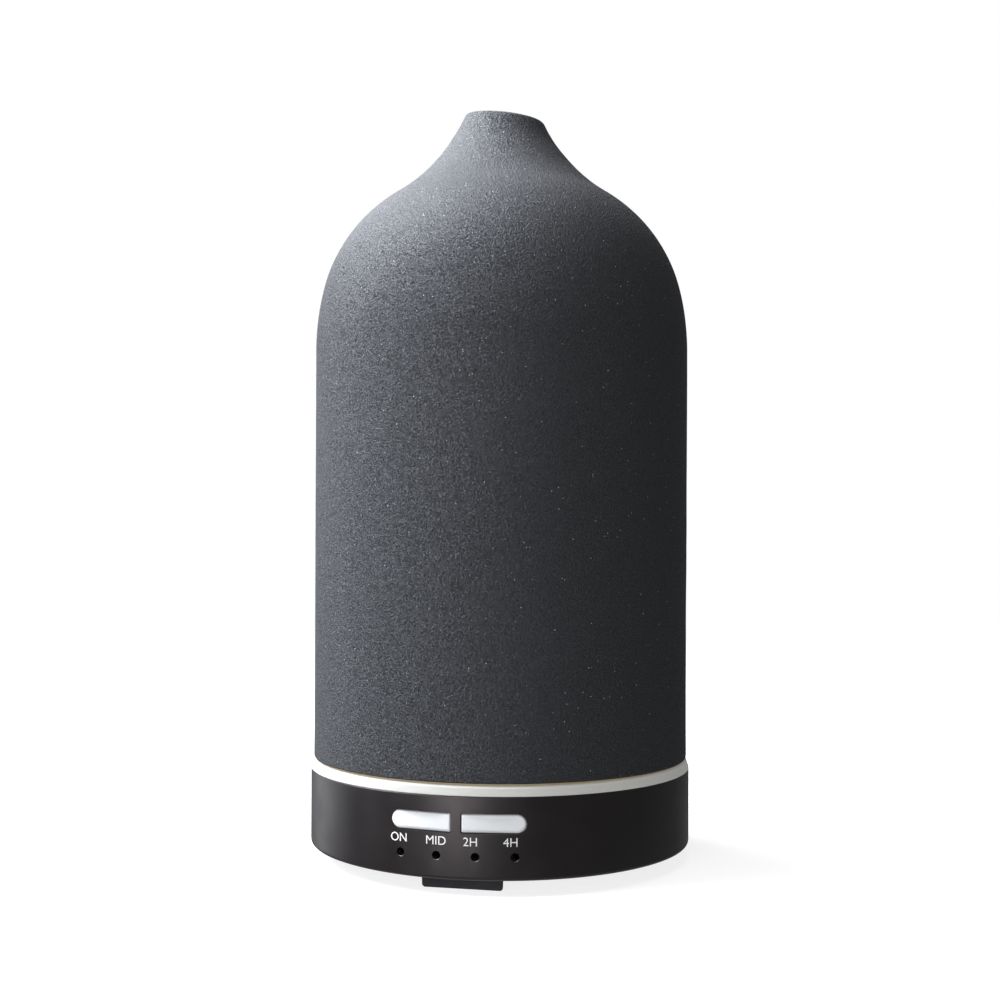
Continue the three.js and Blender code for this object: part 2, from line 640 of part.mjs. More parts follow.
function boardComponents(floor) {
  for (const [name, { x, y, radius, top, facets }] of Object.entries(CAPACITORS)) {
    add(name, post(x, y, radius, floor, top, facets), blackMoulding);
  }

  const { flange, waist, windingTop, top: drumTop } = INDUCTOR;
  const drum = [
    [0, floor],
    [flange, floor],
    [flange, floor + 1],
    [waist, floor + 1.4],
    [waist, windingTop],
    [flange, windingTop + 0.4],
    [flange, drumTop],
    [0, drumTop],
  ].map(([r, z]) => new THREE.Vector2(r, z));
  const inductor = new THREE.LatheGeometry(drum, ROUND.small).rotateX(Math.PI / 2);
  add("inductor", inductor.translate(INDUCTOR.x, INDUCTOR.y, 0), copper);

  const { x, y, halfWidth, plate: plateDepth, fins: count, finPitch, reach, top } = HEAT_SINK;
  const fins = Array.from({ length: count }, (_, i) => {
    const middle = (i - (count - 1) / 2) * finPitch;
    return block(middle - 0.6, middle + 0.6, 0.5, reach, floor, top);
  });
  const backPlate = block(-halfWidth, halfWidth, 0, plateDepth, floor, top);
  add("heat_sink", join(backPlate, ...fins).translate(x, y, 0), aluminium);

  const onBoard = ({ left, right, front, back }, height) => block(left, right, front, back, floor, height);
  add("power_transistor", onBoard(TRANSISTOR, TRANSISTOR.top), blackMoulding);
  add("controller_chip", onBoard(CHIP, floor + CHIP.height), blackMoulding);
  add("piezo_connector", onBoard(PIEZO_CONNECTOR, floor + CONNECTOR_HEIGHT), whitePlastic);
  add("fan_connector", onBoard(FAN_CONNECTOR, floor + CONNECTOR_HEIGHT), whitePlastic);
}

function powerSocket() {
  const { z, collar, bore, boreDepth, face } = SOCKET;
  const { halfWidth, back, shoulder, top } = SOCKET_BODY;
  const body = block(-halfWidth, halfWidth, back, shoulder, BOARD.top + GAP, top);
  const neck = bar(0, z, collar, shoulder - 1, face, ROUND.small);
  const hollow = bar(0, z, bore, face - boreDepth, face + 1, ROUND.small);
  const pin = bar(0, z, SOCKET_PIN.radius, face - boreDepth - 0.5, face - SOCKET_PIN.depth, ROUND.tiny);
  add("power_socket", join(cut(join(body, neck), hollow), pin), blackMoulding);
}

function ledRingBoard() {
  const { inner, outer, bottom, top, ledCircle, leds } = LED_BOARD;
  const chips = Array.from({ length: leds }, (_, i) =>
    block(-1.7, 1.7, ledCircle - 1.4, ledCircle + 1.4, top - 0.2, top + 0.8)
      .rotateZ(radians((360 * (i + 0.5)) / leds)),
  );
  add("led_ring_board", join(ring(inner, outer, bottom, top, ROUND.tank), ...chips), circuitBoard);
}

// ---------- button panel ----------

function buttonBoard() {
  const { front, thickness, halfWidth, bottom, top } = BUTTON_BOARD;
  add("button_board", block(-halfWidth, halfWidth, front, front + thickness, bottom, top), circuitBoard);
  STATUS_LED.xs.forEach((x, i) => {
    const lens = bar(x, STATUS_LED.z, STATUS_LED.radius, STATUS_LED.tip, front - GAP, ROUND.tiny);
    add(`status_led_${i + 1}`, lens, milkyPlastic);
  });
}

function pushButton(side, name) {
  const centre = side * BUTTON.middle;
  const place = side > 0 ? (points) => points : mirrored;
  const capOutline = place(halfPill(-PANEL.buttonGap));
  const cap = common(
    key(capOutline, -BASE.radius - 1, BUTTON_FLANGE.back),
    ring(0, BUTTON.faceRadius, BASE.bottom, BASE.top, ROUND.large),
  );
  const { halfHeight, near, far } = BUTTON_FLANGE;
  const flangeOutline = place([
    [near, PANEL.slotZ - halfHeight],
    [far, PANEL.slotZ - halfHeight],
    [far, PANEL.slotZ + halfHeight],
    [near, PANEL.slotZ + halfHeight],
  ]);
  const flange = key(flangeOutline, BUTTON_FLANGE.front, BUTTON_FLANGE.back);
  add(`${name}_button`, join(cap, flange), whitePlastic);

  const { size, front, bore, plunger } = SWITCH;
  const switchBack = BUTTON_BOARD.front - GAP;
  const [low, high] = [PANEL.slotZ - 0.1 - size / 2, PANEL.slotZ - 0.1 + size / 2];
  const body = block(centre - size / 2, centre + size / 2, front, switchBack, low, high);
  const well = bar(centre, PANEL.slotZ, bore, front - 1, front + 2.2, ROUND.small);
  add(`${name}_switch`, cut(body, well), blackMoulding);
  const stem = bar(centre, PANEL.slotZ, plunger, BUTTON_FLANGE.back + GAP, front + 1.2, ROUND.tiny);
  add(`${name}_plunger`, stem, blackMoulding);
}

// ---------- internal leads ----------

// A round insulated wire through the given points.
function lead(name, points, material) {
  const [sides, radius, steps] = [8, 0.6, 16];
  const extrudePath = new THREE.CatmullRomCurve3(points.map((p) => new THREE.Vector3(...p)));
  const section = shapeOf(arcPoints(0, 0, radius, 0, 360 - 360 / sides, sides - 1));
  add(name, new THREE.ExtrudeGeometry(section, { steps, bevelEnabled: false, extrudePath }), material);
}

function internalLeads() {
  const piezoRoute = (y) => [
    [2, y, 23.4],
    [3, y, 20.5],
    [8, y, 18.4],
    [16, y - 1, 18.6],
    [24, y - 3.8, 19.4],
    [26.4, y - 4.8, 18],
    [26.5, y - 4.8, 15.6],
  ];
  lead("piezo_lead_red", piezoRoute(-1.3), redWire);
  lead("piezo_lead_black", piezoRoute(1.3), blackWire);
  const fanRoute = (shift) => [
    [-8.15, shift - 12, 11.2],
    [shift - 6.9, shift - 12.4, 12.2],
    [shift - 4.4, shift - 15.5, 16],
    [shift - 2, shift - 20, 18],
    [shift - 1.6, shift - 22, 17],
    [shift - 1.6, shift - 22.2, 15.6],
  ];
  lead("fan_lead_red", fanRoute(0), redWire);
  lead("fan_lead_black", fanRoute(1.35), blackWire);
}

// ---------- assembly ----------

ceramicCover();
innerLid();
waterTank();
ultrasonicDisc();
baseHousing();
bottomCover();
feet();
lightRing();
fan();
airDuct();
mainBoard();
powerSocket();
ledRingBoard();
buttonBoard();
pushButton(-1, "mist");
pushButton(1, "light");
internalLeads();

export default part;
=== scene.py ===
"""Essential oil diffuser: the fine surfaces and materials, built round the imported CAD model.

Lengths in this file are millimetres, and make_mesh turns them into the metres of the frame.
The frame has +Z up, its origin on the floor under the middle of the body, and the buttons at the front, -Y.
"""

import json
import math

import bmesh
import bpy
from mathutils import Matrix, Vector, noise

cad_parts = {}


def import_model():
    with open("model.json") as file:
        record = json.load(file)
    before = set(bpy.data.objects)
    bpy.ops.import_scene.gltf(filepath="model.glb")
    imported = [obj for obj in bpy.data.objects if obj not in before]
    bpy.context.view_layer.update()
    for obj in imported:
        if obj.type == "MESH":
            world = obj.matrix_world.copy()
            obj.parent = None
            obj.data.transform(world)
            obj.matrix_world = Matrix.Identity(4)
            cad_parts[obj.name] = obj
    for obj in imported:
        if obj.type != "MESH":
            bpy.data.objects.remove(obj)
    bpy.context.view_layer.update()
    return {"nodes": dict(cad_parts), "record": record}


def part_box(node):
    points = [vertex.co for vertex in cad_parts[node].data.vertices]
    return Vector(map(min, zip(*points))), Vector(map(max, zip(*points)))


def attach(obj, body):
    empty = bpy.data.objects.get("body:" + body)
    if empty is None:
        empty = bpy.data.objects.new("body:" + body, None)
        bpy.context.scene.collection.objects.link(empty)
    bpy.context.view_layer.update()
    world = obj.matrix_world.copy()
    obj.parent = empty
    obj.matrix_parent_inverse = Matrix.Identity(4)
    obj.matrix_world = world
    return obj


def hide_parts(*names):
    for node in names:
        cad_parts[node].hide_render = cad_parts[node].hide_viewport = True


MM = 0.001

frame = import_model()


def cad_box(node):
    """Lowest and highest corner of a CAD node, in millimetres."""
    low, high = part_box(node)
    return low / MM, high / MM


# ---------- sizes, worked out from the frame where it has them ----------

HOUSING_LOW, HOUSING_HIGH = cad_box("base_housing")
INK_HEIGHT = 0.03
BASE_RADIUS = HOUSING_HIGH.x - INK_HEIGHT
BASE_BOTTOM = HOUSING_LOW.z
BASE_TOP = HOUSING_HIGH.z
BASE_INNER = HOUSING_HIGH.x - 2.3
COVER_LOW, COVER_HIGH = cad_box("ceramic_cover")
COVER_RADIUS = COVER_HIGH.x
COVER_WALL = 3.6
SHOULDER_START = 125.5
MOUTH_SLOPE = 0.179
MOUTH_FALLS_TO = 51
SLOPE_START = 174

SLOT_Z = 16.05
SLOT_HALF = 15.5
SLOT_RADIUS = 2.2
DIVIDER = 1.05
LED_Z = 8.8
LED_XS = (-13, -4.4, 4.4, 13)
LED_HOLE = 0.9
SOCKET_Z = 14.1
SOCKET_HOLE = 4.3
CUT_TO = 36  # how close to the axis the cutters through the base's wall reach
PLATE_TOP = 5.75
CASE_POST_ANGLES = (55, -55, 160, -160)
CASE_POST_CIRCLE = 34
BOARD_POSTS = ((36.5, 4), (2, -29), (2, 22))
FAN_X = -23.5
LABEL_Z = 12.0

# ---------- outlines ----------


def arc(x, y, radius, start, end, steps):
    """Points along an arc, from one angle to another, in degrees."""
    angles = [math.radians(start + (end - start) * i / steps) for i in range(steps + 1)]
    return [(x + radius * math.cos(a), y + radius * math.sin(a)) for a in angles]


def rounded(points, radius, steps=4):
    """A closed outline with every corner rounded. A point may carry a radius of its own as a third number."""
    outline = []
    count = len(points)
    for i, point in enumerate(points):
        here = Vector(point[:2])
        before = Vector(points[i - 1][:2]) - here
        after = Vector(points[(i + 1) % count][:2]) - here
        wanted = point[2] if len(point) > 2 else radius
        angle = before.angle(after)
        if wanted <= 0 or angle > math.radians(178):
            outline.append(tuple(here))
            continue
        cut = min(wanted / math.tan(angle / 2), before.length * 0.48, after.length * 0.48)
        start = here + before.normalized() * cut
        end = here + after.normalized() * cut
        for k in range(steps + 1):
            t = k / steps
            bend = start.lerp(here, t).lerp(here.lerp(end, t), t)
            outline.append(tuple(bend))
    return outline


def pill(margin, steps=16):
    """The button slot's outline in X and Z, grown by a margin."""
    end = SLOT_HALF - SLOT_RADIUS
    radius = SLOT_RADIUS + margin
    return arc(end, SLOT_Z, radius, -90, 90, steps) + arc(-end, SLOT_Z, radius, 90, 270, steps)


def half_pill(side, margin, corner=0.3, steps=16):
    """One window of the slot, from its round end to its square end beside the divider."""
    end = SLOT_HALF - SLOT_RADIUS
    radius = SLOT_RADIUS + margin
    inner = DIVIDER - margin
    points = arc(end, SLOT_Z, radius, -90, 90, steps)
    points += arc(inner + corner, SLOT_Z + radius - corner, corner, 90, 180, 4)
    points += arc(inner + corner, SLOT_Z - radius + corner, corner, 180, 270, 4)
    return [(side * x, z) for x, z in points]


def circle(x, z, radius, steps=32):
    return arc(x, z, radius, 0, 360 - 360 / steps, steps - 1)


def around_axis(radius, degrees):
    """X and Y at a distance from the axis, the angle counted from the front towards +X."""
    angle = math.radians(degrees)
    return radius * math.sin(angle), -radius * math.cos(angle)


# ---------- mesh building ----------


def make_mesh(name, bm, materials, sharp=35):
    """Turns a bmesh in millimetres into an object in metres, with smooth shading."""
    bmesh.ops.recalc_face_normals(bm, faces=bm.faces)
    bmesh.ops.scale(bm, vec=(MM, MM, MM), verts=bm.verts)
    mesh = bpy.data.meshes.new(name)
    bm.to_mesh(mesh)
    bm.free()
    for material in materials:
        mesh.materials.append(material)
    obj = bpy.data.objects.new(name, mesh)
    bpy.context.scene.collection.objects.link(obj)
    smooth(obj, sharp)
    return obj


def smooth(obj, sharp=35):
    """Smooth shading, with edges sharper than the angle kept crisp."""
    bm = bmesh.new()
    bm.from_mesh(obj.data)
    for face in bm.faces:
        face.smooth = True
    limit = math.radians(sharp)
    for edge in bm.edges:
        edge.smooth = len(edge.link_faces) == 2 and edge.calc_face_angle(0) < limit
    bm.to_mesh(obj.data)
    bm.free()


def skin(bm, rings):
    """Joins rings of points with quads, and caps both ends."""
    rows = [[bm.verts.new(point) for point in ring] for ring in rings]
    count = len(rows[0])
    for low, high in zip(rows, rows[1:]):
        for i in range(count):
            j = (i + 1) % count
            bm.faces.new((low[i], low[j], high[j], high[i]))
    bm.faces.new(rows[0])
    bm.faces.new(rows[-1])


def turn(bm, outline, segments, centre=(0, 0), material_at=None):
    """Revolves a closed outline of (radius, z) points about a vertical axis."""
    angles = [2 * math.pi * i / segments for i in range(segments)]
    spokes = [(math.cos(a), math.sin(a)) for a in angles]
    rows = []
    for r, z in outline:
        if r < 1e-6:
            rows.append([bm.verts.new((centre[0], centre[1], z))])
        else:
            rows.append([bm.verts.new((centre[0] + r * c, centre[1] + r * s, z)) for c, s in spokes])
    for k, low in enumerate(rows):
        high = rows[(k + 1) % len(rows)]
        if len(low) == 1 and len(high) == 1:
            continue
        index = material_at(k) if material_at else 0
        for i in range(segments):
            j = (i + 1) % segments
            corners = [low[i % len(low)], low[j % len(low)], high[j % len(high)], high[i % len(high)]]
            unique = list(dict.fromkeys(corners))
            bm.faces.new(unique).material_index = index


def turned(name, outline, segments, material):
    """A piece of one material, turned about the body's axis."""
    bm = bmesh.new()
    turn(bm, outline, segments)
    return make_mesh(name, bm, [material])


def on_wall(points, radius, side=-1):
    """Lays (x, z) points onto an upright cylinder, on its front or, with side 1, its back."""
    return [(x, side * math.sqrt(radius ** 2 - x ** 2), z) for x, z in points]


def at_y(points, y):
    """Stands (x, z) points up at a distance along Y."""
    return [(x, y, z) for x, z in points]


def at_z(points, z):
    """Lays (x, y) points at a height."""
    return [(x, y, z) for x, y in points]


def tool(rings):
    """A throwaway solid for cutting or joining."""
    bm = bmesh.new()
    skin(bm, rings)
    return make_mesh("tool", bm, [])


def post(x, y, *sections, steps=32):
    """An upright round tool through sections of (z, radius)."""
    return tool([at_z(circle(x, y, radius, steps), z) for z, radius in sections])


def bar(x, z, *sections, steps=32):
    """A round tool along Y through sections of (y, radius)."""
    return tool([at_y(circle(x, z, radius, steps), y) for y, radius in sections])


def block(left, right, front, back, bottom, top, corner=0.3):
    """A box with rounded upright edges."""
    outline = rounded([(left, front), (right, front), (right, back), (left, back)], corner)
    return tool([at_z(outline, bottom), at_z(outline, top)])


def pair(near, far, *rest):
    """A block on either side of the middle, given as for block with near and far for left and right."""
    return [block(*sorted((side * near, side * far)), *rest) for side in (-1, 1)]


def combine(obj, operation, tools):
    """Cuts the tools out of obj or joins them to it, one after another, and throws them away."""
    for other in tools:
        modifier = obj.modifiers.new("combine", "BOOLEAN")
        modifier.operation = operation
        modifier.solver = "EXACT"
        modifier.object = other
        depsgraph = bpy.context.evaluated_depsgraph_get()
        result = bpy.data.meshes.new_from_object(obj.evaluated_get(depsgraph))
        obj.modifiers.clear()
        old = obj.data
        obj.data = result
        result.name = old.name
        bpy.data.meshes.remove(old)
        leftover = other.data
        bpy.data.objects.remove(other)
        bpy.data.meshes.remove(leftover)
    bm = bmesh.new()
    bm.from_mesh(obj.data)
    bmesh.ops.remove_doubles(bm, verts=bm.verts, dist=1e-7)
    bmesh.ops.dissolve_degenerate(bm, edges=bm.edges, dist=1e-7)
    bm.to_mesh(obj.data)
    bm.free()
    smooth(obj)


def bevelled(obj, width, segments=2, angle=40):
    """A small rounded edge on a piece whose shape is otherwise right."""
    modifier = obj.modifiers.new("bevel", "BEVEL")
    modifier.width = width * MM
    modifier.segments = segments
    modifier.limit_method = "ANGLE"
    modifier.angle_limit = math.radians(angle)
    modifier.use_clamp_overlap = True
    modifier.harden_normals = True


def settle(obj, body, slot, *nodes):
    """Puts a finished piece on its body, in place of its CAD nodes."""
    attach(obj, body)
    if nodes:
        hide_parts(*nodes)


# ---------- materials ----------


class Surface:
    """A Principled material. Most methods add nodes and return the output that they make."""

    def __init__(self, name, roughness=0.5, metallic=0.0, **sockets):
        self.material = bpy.data.materials.new(name)
        self.material.use_nodes = True
        self.tree = self.material.node_tree
        self.shader = self.tree.nodes["Principled BSDF"]
        self.set("Roughness", roughness)
        self.set("Metallic", metallic)
        for label, value in sockets.items():
            self.set(label.replace("_", " "), value)
        self.place = self.tree.nodes.new("ShaderNodeTexCoord").outputs["Object"]

    def set(self, label, value):
        """Gives one of the shader's sockets a number, a colour or another node's output."""
        self.give(self.shader.inputs[label], value)

    def give(self, socket, value):
        """Links an output to the socket, or sets the socket's own value."""
        if isinstance(value, bpy.types.NodeSocket):
            self.tree.links.new(value, socket)
        elif isinstance(value, (tuple, list)) and socket.type == "RGBA" and len(value) == 3:
            socket.default_value = (*value, 1)
        else:
            socket.default_value = value

    def node(self, kind, settings=None, **inputs):
        """Adds a node. In an input's name, an underscore stands for a space."""
        node = self.tree.nodes.new(kind)
        for label, value in (settings or {}).items():
            setattr(node, label, value)
        for label, value in inputs.items():
            self.give(node.inputs[label.replace("_", " ")], value)
        return node

    def noise(self, size, detail=2.0, roughness=0.5, place=None):
        """Cloudy noise whose lumps are about size millimetres across."""
        made = self.node(
            "ShaderNodeTexNoise",
            Vector=place or self.place,
            Scale=1 / (size * MM),
            Detail=detail,
            Roughness=roughness,
        )
        return made.outputs["Fac"]

    def cells(self, size):
        """Voronoi cells about size millimetres across: distance in cells, random tint, middle."""
        made = self.node("ShaderNodeTexVoronoi", Vector=self.place, Scale=1 / (size * MM))
        return made.outputs["Distance"], made.outputs["Color"], made.outputs["Position"]

    def flakes(self, size, share, radius=0.4):
        """Round flakes in a share of all cells: where they are, and a direction of its own for each."""
        distance, tint, middle = self.cells(size)
        chance = self.node("ShaderNodeSeparateColor", Color=tint).outputs["Red"]
        there = self.maths("LESS_THAN", chance, share)
        flake = self.maths("MULTIPLY", there, self.between(distance, radius, radius * 0.5))
        lean = self.node("ShaderNodeTexWhiteNoise", {"noise_dimensions": "3D"}, Vector=middle)
        return flake, lean.outputs["Color"]

    def tilt(self, normal, direction, amount):
        """Leans the normal towards a direction given as 0..1 on each axis."""
        centred = self.node("ShaderNodeVectorMath", {"operation": "SUBTRACT"})
        self.give(centred.inputs[0], direction)
        centred.inputs[1].default_value = (0.5, 0.5, 0.5)
        scaled = self.node("ShaderNodeVectorMath", {"operation": "SCALE"})
        self.give(scaled.inputs[0], centred.outputs["Vector"])
        self.give(scaled.inputs["Scale"], amount)
        leaned = self.node("ShaderNodeVectorMath", {"operation": "ADD"})
        self.give(leaned.inputs[0], normal)
        self.give(leaned.inputs[1], scaled.outputs["Vector"])
        unit = self.node("ShaderNodeVectorMath", {"operation": "NORMALIZE"})
        self.give(unit.inputs[0], leaned.outputs["Vector"])
        self.set("Normal", unit.outputs["Vector"])
        return unit.outputs["Vector"]

    def maths(self, operation, a, b=0.0):
        """One step of arithmetic on two numbers."""
        made = self.tree.nodes.new("ShaderNodeMath")
        made.operation = operation
        self.give(made.inputs[0], a)
        self.give(made.inputs[1], b)
        return made.outputs[0]

    def between(self, value, low, high, start=0.0, end=1.0):
        """Maps low..high smoothly to start..end."""
        made = self.node("ShaderNodeMapRange", {"interpolation_type": "SMOOTHSTEP"}, Value=value)
        for label, number in (("From Min", low), ("From Max", high), ("To Min", start), ("To Max", end)):
            made.inputs[label].default_value = number
        return made.outputs["Result"]

    def blend(self, share, a, b):
        """Mixes colour a with a share of colour b."""
        made = self.tree.nodes.new("ShaderNodeMix")
        made.data_type = "RGBA"
        self.give(made.inputs["Factor"], share)
        colours = [socket for socket in made.inputs if socket.type == "RGBA"]
        self.give(colours[0], a)
        self.give(colours[1], b)
        return next(socket for socket in made.outputs if socket.type == "RGBA")

    def turn_place(self, *angles):
        """Turns the noises away from the object's axes, so that no grid shows along its walls."""
        made = self.node("ShaderNodeMapping", Vector=self.place, Rotation=angles)
        self.place = made.outputs["Vector"]

    def axis(self, letter):
        """One coordinate of the place, in millimetres."""
        parts = self.node("ShaderNodeSeparateXYZ", Vector=self.place)
        return self.maths("MULTIPLY", parts.outputs[letter], 1 / MM)

    def bump(self, height, strength, depth, normal=None):
        """Relief whose full height is depth millimetres."""
        made = self.node("ShaderNodeBump", Strength=strength, Distance=depth * MM, Height=height)
        if normal is not None:
            self.give(made.inputs["Normal"], normal)
        self.set("Normal", made.outputs["Normal"])
        return made.outputs["Normal"]


def stoneware_glaze():
    """Matt charcoal glaze: a sandy grain, weaker on the neck and towards +X, flakes, and pale specks that are
    painted glints, more of them towards +X.
    """
    s = Surface("stoneware_glaze", roughness=0.66, Specular_IOR_Level=0.42, Specular_Tint=(0.80, 0.86, 1.0))
    across = s.axis("X")
    up = s.axis("Z")
    s.turn_place(0.65, 0.4, 0.9)
    clouds = s.noise(30, detail=3, roughness=0.55)
    grain = s.noise(0.42, detail=1.0)
    sand = s.node("ShaderNodeTexNoise", Vector=s.place, Scale=1 / (0.20 * MM), Detail=0.0)
    base = s.blend(clouds, (0.0190, 0.0193, 0.0204), (0.0256, 0.0260, 0.0275))
    base = s.blend(s.between(grain, 0.36, 0.68, 0.0, 0.5), base, (0.0360, 0.0365, 0.0385))

    flake, lean = s.flakes(0.30, 0.16)
    base = s.blend(flake, base, (0.060, 0.062, 0.066))

    # Pale specks: painted glints, bright dots in the base colour, placed more towards +X.
    distance, tint, _ = s.cells(0.7)
    chance = s.node("ShaderNodeSeparateColor", Color=tint).outputs["Green"]
    drift = s.between(s.noise(20, detail=1), 0.45, 0.65, 0.0, 0.02)
    painted_glint_bias = s.maths("ADD", s.between(across, -8, 12, 0.0, 0.022), drift)
    rare = s.maths("GREATER_THAN", s.maths("ADD", chance, painted_glint_bias), 0.99)
    painted_glint = s.maths("MULTIPLY", s.maths("LESS_THAN", distance, 0.15), rare)
    s.set("Base Color", s.blend(painted_glint, base, (0.50, 0.51, 0.48)))

    rough = s.between(grain, 0.3, 0.7, 0.72, 0.60)
    s.set("Roughness", s.maths("SUBTRACT", rough, s.maths("MULTIPLY", flake, 0.40)))
    relief = s.bump(s.noise(5, detail=2), 0.3, 0.25)
    relief = s.bump(s.noise(1.3, detail=1), 0.4, 0.10, relief)
    relief = s.bump(grain, 1.0, 0.25, relief)
    coarse = s.maths("MULTIPLY", s.between(across, -25, 40, 4.2, 1.8), s.between(up, 115, 160, 1.0, 0.65))
    relief = s.tilt(relief, sand.outputs["Color"], coarse)
    s.tilt(relief, lean, s.maths("MULTIPLY", flake, 1.6))
    return s.material


def bisque_clay():
    """The unglazed clay on the inside and the foot of the cover."""
    s = Surface("bisque_clay", roughness=0.92, Specular_IOR_Level=0.25)
    clouds = s.noise(14, detail=4)
    grit = s.noise(0.35, detail=2)
    base = s.blend(clouds, (0.44, 0.33, 0.17), (0.56, 0.44, 0.26))
    s.set("Base Color", s.blend(s.between(grit, 0.55, 0.75, 0, 0.5), base, (0.22, 0.16, 0.09)))
    s.bump(grit, 0.5, 0.08)
    return s.material


def moulded_plastic(name, dark, light, roughness, texture=0.5, relief=0.012, **sockets):
    """Injection-moulded plastic: a faint spark-eroded texture and slow changes of gloss."""
    s = Surface(name, roughness=roughness, **sockets)
    clouds = s.noise(24, detail=2)
    fine = s.noise(texture, detail=2)
    s.set("Base Color", s.blend(clouds, dark, light))
    s.set("Roughness", s.between(s.noise(9, detail=3), 0.3, 0.7, roughness - 0.04, roughness + 0.05))
    s.bump(fine, 0.5, relief)
    return s.material


def milky_plastic(name, colour, depth, roughness=0.34, soak=0.35, shine=0.5, painted_glow=0.0):
    """Translucent white plastic that light soaks into, with an optional even painted glow in its own colour,
    though the part is no lamp.
    """
    s = Surface(name, roughness=roughness, Subsurface_Weight=soak, Subsurface_Scale=depth * MM)
    s.set("Specular IOR Level", shine)
    # Painted glow: an even emission in the plastic's own colour, which lifts its shaded side though the part
    # is no lamp.
    s.set("Emission Color", colour)
    s.set("Emission Strength", painted_glow)
    s.shader.inputs["Subsurface Radius"].default_value = (1.0, 0.9, 0.8)
    clouds = s.noise(11, detail=3)
    shade = tuple(c * 0.95 for c in colour)
    s.set("Base Color", s.blend(clouds, shade, colour))
    s.set("Roughness", s.between(s.noise(5, detail=2), 0.3, 0.7, roughness - 0.03, roughness + 0.04))
    s.bump(s.noise(1.6, detail=2), 0.35, 0.02)
    return s.material


def rubber():
    """Black rubber with a little dust on it."""
    s = Surface("foot_rubber", roughness=0.72, Specular_IOR_Level=0.4)
    fine = s.noise(0.3, detail=3)
    dust = s.between(s.noise(3, detail=4), 0.5, 0.8, 0, 0.35)
    s.set("Base Color", s.blend(dust, (0.014, 0.015, 0.018), (0.045, 0.045, 0.048)))
    s.bump(fine, 0.5, 0.03)
    return s.material


def metal(name, colour, roughness, streak=None):
    """Metal with a worked surface: streaks along one axis, or a cloudy plating."""
    s = Surface(name, roughness=roughness, metallic=1.0)
    place = s.place
    if streak:
        place = s.node("ShaderNodeMapping", Vector=s.place, Scale=streak).outputs["Vector"]
    grain = s.noise(0.5, detail=3, place=place)
    tarnish = s.noise(2.5, detail=3)
    dull = tuple(c * 0.78 for c in colour)
    s.set("Base Color", s.blend(s.between(tarnish, 0.35, 0.7), colour, dull))
    s.set("Roughness", s.between(grain, 0.3, 0.7, roughness - 0.06, roughness + 0.08))
    s.bump(grain, 0.25, 0.02)
    return s.material


def circuit_board():
    """Green solder mask over copper tracks."""
    s = Surface("circuit_board", roughness=0.35, Coat_Weight=0.3)
    grid = s.node("ShaderNodeTexBrick", {"offset": 0.37, "squash": 1.6}, Vector=s.place, Scale=1 / (5 * MM))
    grid.inputs["Mortar Size"].default_value = 0.05
    grid.inputs["Mortar Smooth"].default_value = 0.1
    track = grid.outputs["Fac"]
    broken = s.maths("GREATER_THAN", s.noise(6, detail=1), 0.5)
    track = s.maths("MULTIPLY", track, broken)
    mask = s.blend(s.noise(18, detail=2), (0.010, 0.085, 0.036), (0.016, 0.115, 0.048))
    s.set("Base Color", s.blend(track, mask, (0.030, 0.19, 0.075)))
    s.bump(track, 0.4, 0.04)
    return s.material


def winding():
    """Enamelled copper wire, wound round the upright axis, its colour painted lighter on each turn's crest
    and darker in the grooves.
    """
    s = Surface("winding", roughness=0.3, metallic=1.0, Coat_Weight=0.5)
    turns = s.maths("SINE", s.maths("MULTIPLY", s.axis("Z"), 2 * math.pi / 0.35))
    # Painted shade: the base colour is lighter on each turn's crest and darker in the grooves between turns.
    painted_turn_shade = s.between(turns, -1, 1, 0.0, 1.0)
    s.set("Base Color", s.blend(painted_turn_shade, (0.28, 0.09, 0.035), (0.72, 0.31, 0.14)))
    s.bump(painted_turn_shade, 0.9, 0.12)
    return s.material


def insulation(name, colour):
    """The soft plastic round a wire."""
    s = Surface(name, roughness=0.42)
    s.set("Base Color", s.blend(s.noise(3, detail=2), tuple(c * 0.8 for c in colour), colour))
    s.bump(s.noise(0.6, detail=2), 0.3, 0.02)
    return s.material


def white_ink():
    """Printed lettering, slightly uneven."""
    s = Surface("white_ink", roughness=0.55)
    s.set("Base Color", s.blend(s.noise(0.25, detail=2), (0.74, 0.74, 0.74), (0.90, 0.90, 0.90)))
    return s.material


GLAZE = stoneware_glaze()
CLAY = bisque_clay()
HOUSING = moulded_plastic(
    "housing_plastic",
    (0.0100, 0.0078, 0.0082),
    (0.0086, 0.0089, 0.0106),
    0.38,
    Specular_IOR_Level=0.44,
    Specular_Tint=(1.0, 0.90, 0.92),
)
# The ring's glow is painted light: an even emission that lifts its tone where it is in shade, though no lamp
# is lit in it.
RING = milky_plastic(
    "ring_plastic", (0.38, 0.38, 0.365), 1.2, roughness=0.75, soak=1.0, shine=0.15, painted_glow=0.43
)
# The buttons' glow is painted light: an even emission that brightens them as a front light would.
BUTTON = milky_plastic("button_plastic", (0.66, 0.68, 0.70), 0.8, roughness=0.5, painted_glow=0.18)
TANK = milky_plastic("tank_plastic", (0.46, 0.47, 0.47), 1.2, roughness=0.4)
LID = milky_plastic("lid_plastic", (0.47, 0.48, 0.48), 1.2, roughness=0.42)
FOOT = rubber()
SILICONE = moulded_plastic("silicone", (0.50, 0.48, 0.43), (0.58, 0.56, 0.50), 0.6)
UNDERSIDE = moulded_plastic(
    "underside_plastic", (0.012, 0.011, 0.011), (0.017, 0.016, 0.016), 0.5, relief=0.02
)
BLACK = moulded_plastic("black_moulding", (0.014, 0.014, 0.0145), (0.022, 0.022, 0.023), 0.48)
NYLON = moulded_plastic("connector_plastic", (0.62, 0.60, 0.54), (0.70, 0.68, 0.62), 0.5)
LENS = milky_plastic("led_lens", (0.84, 0.84, 0.80), 0.6, roughness=0.2)
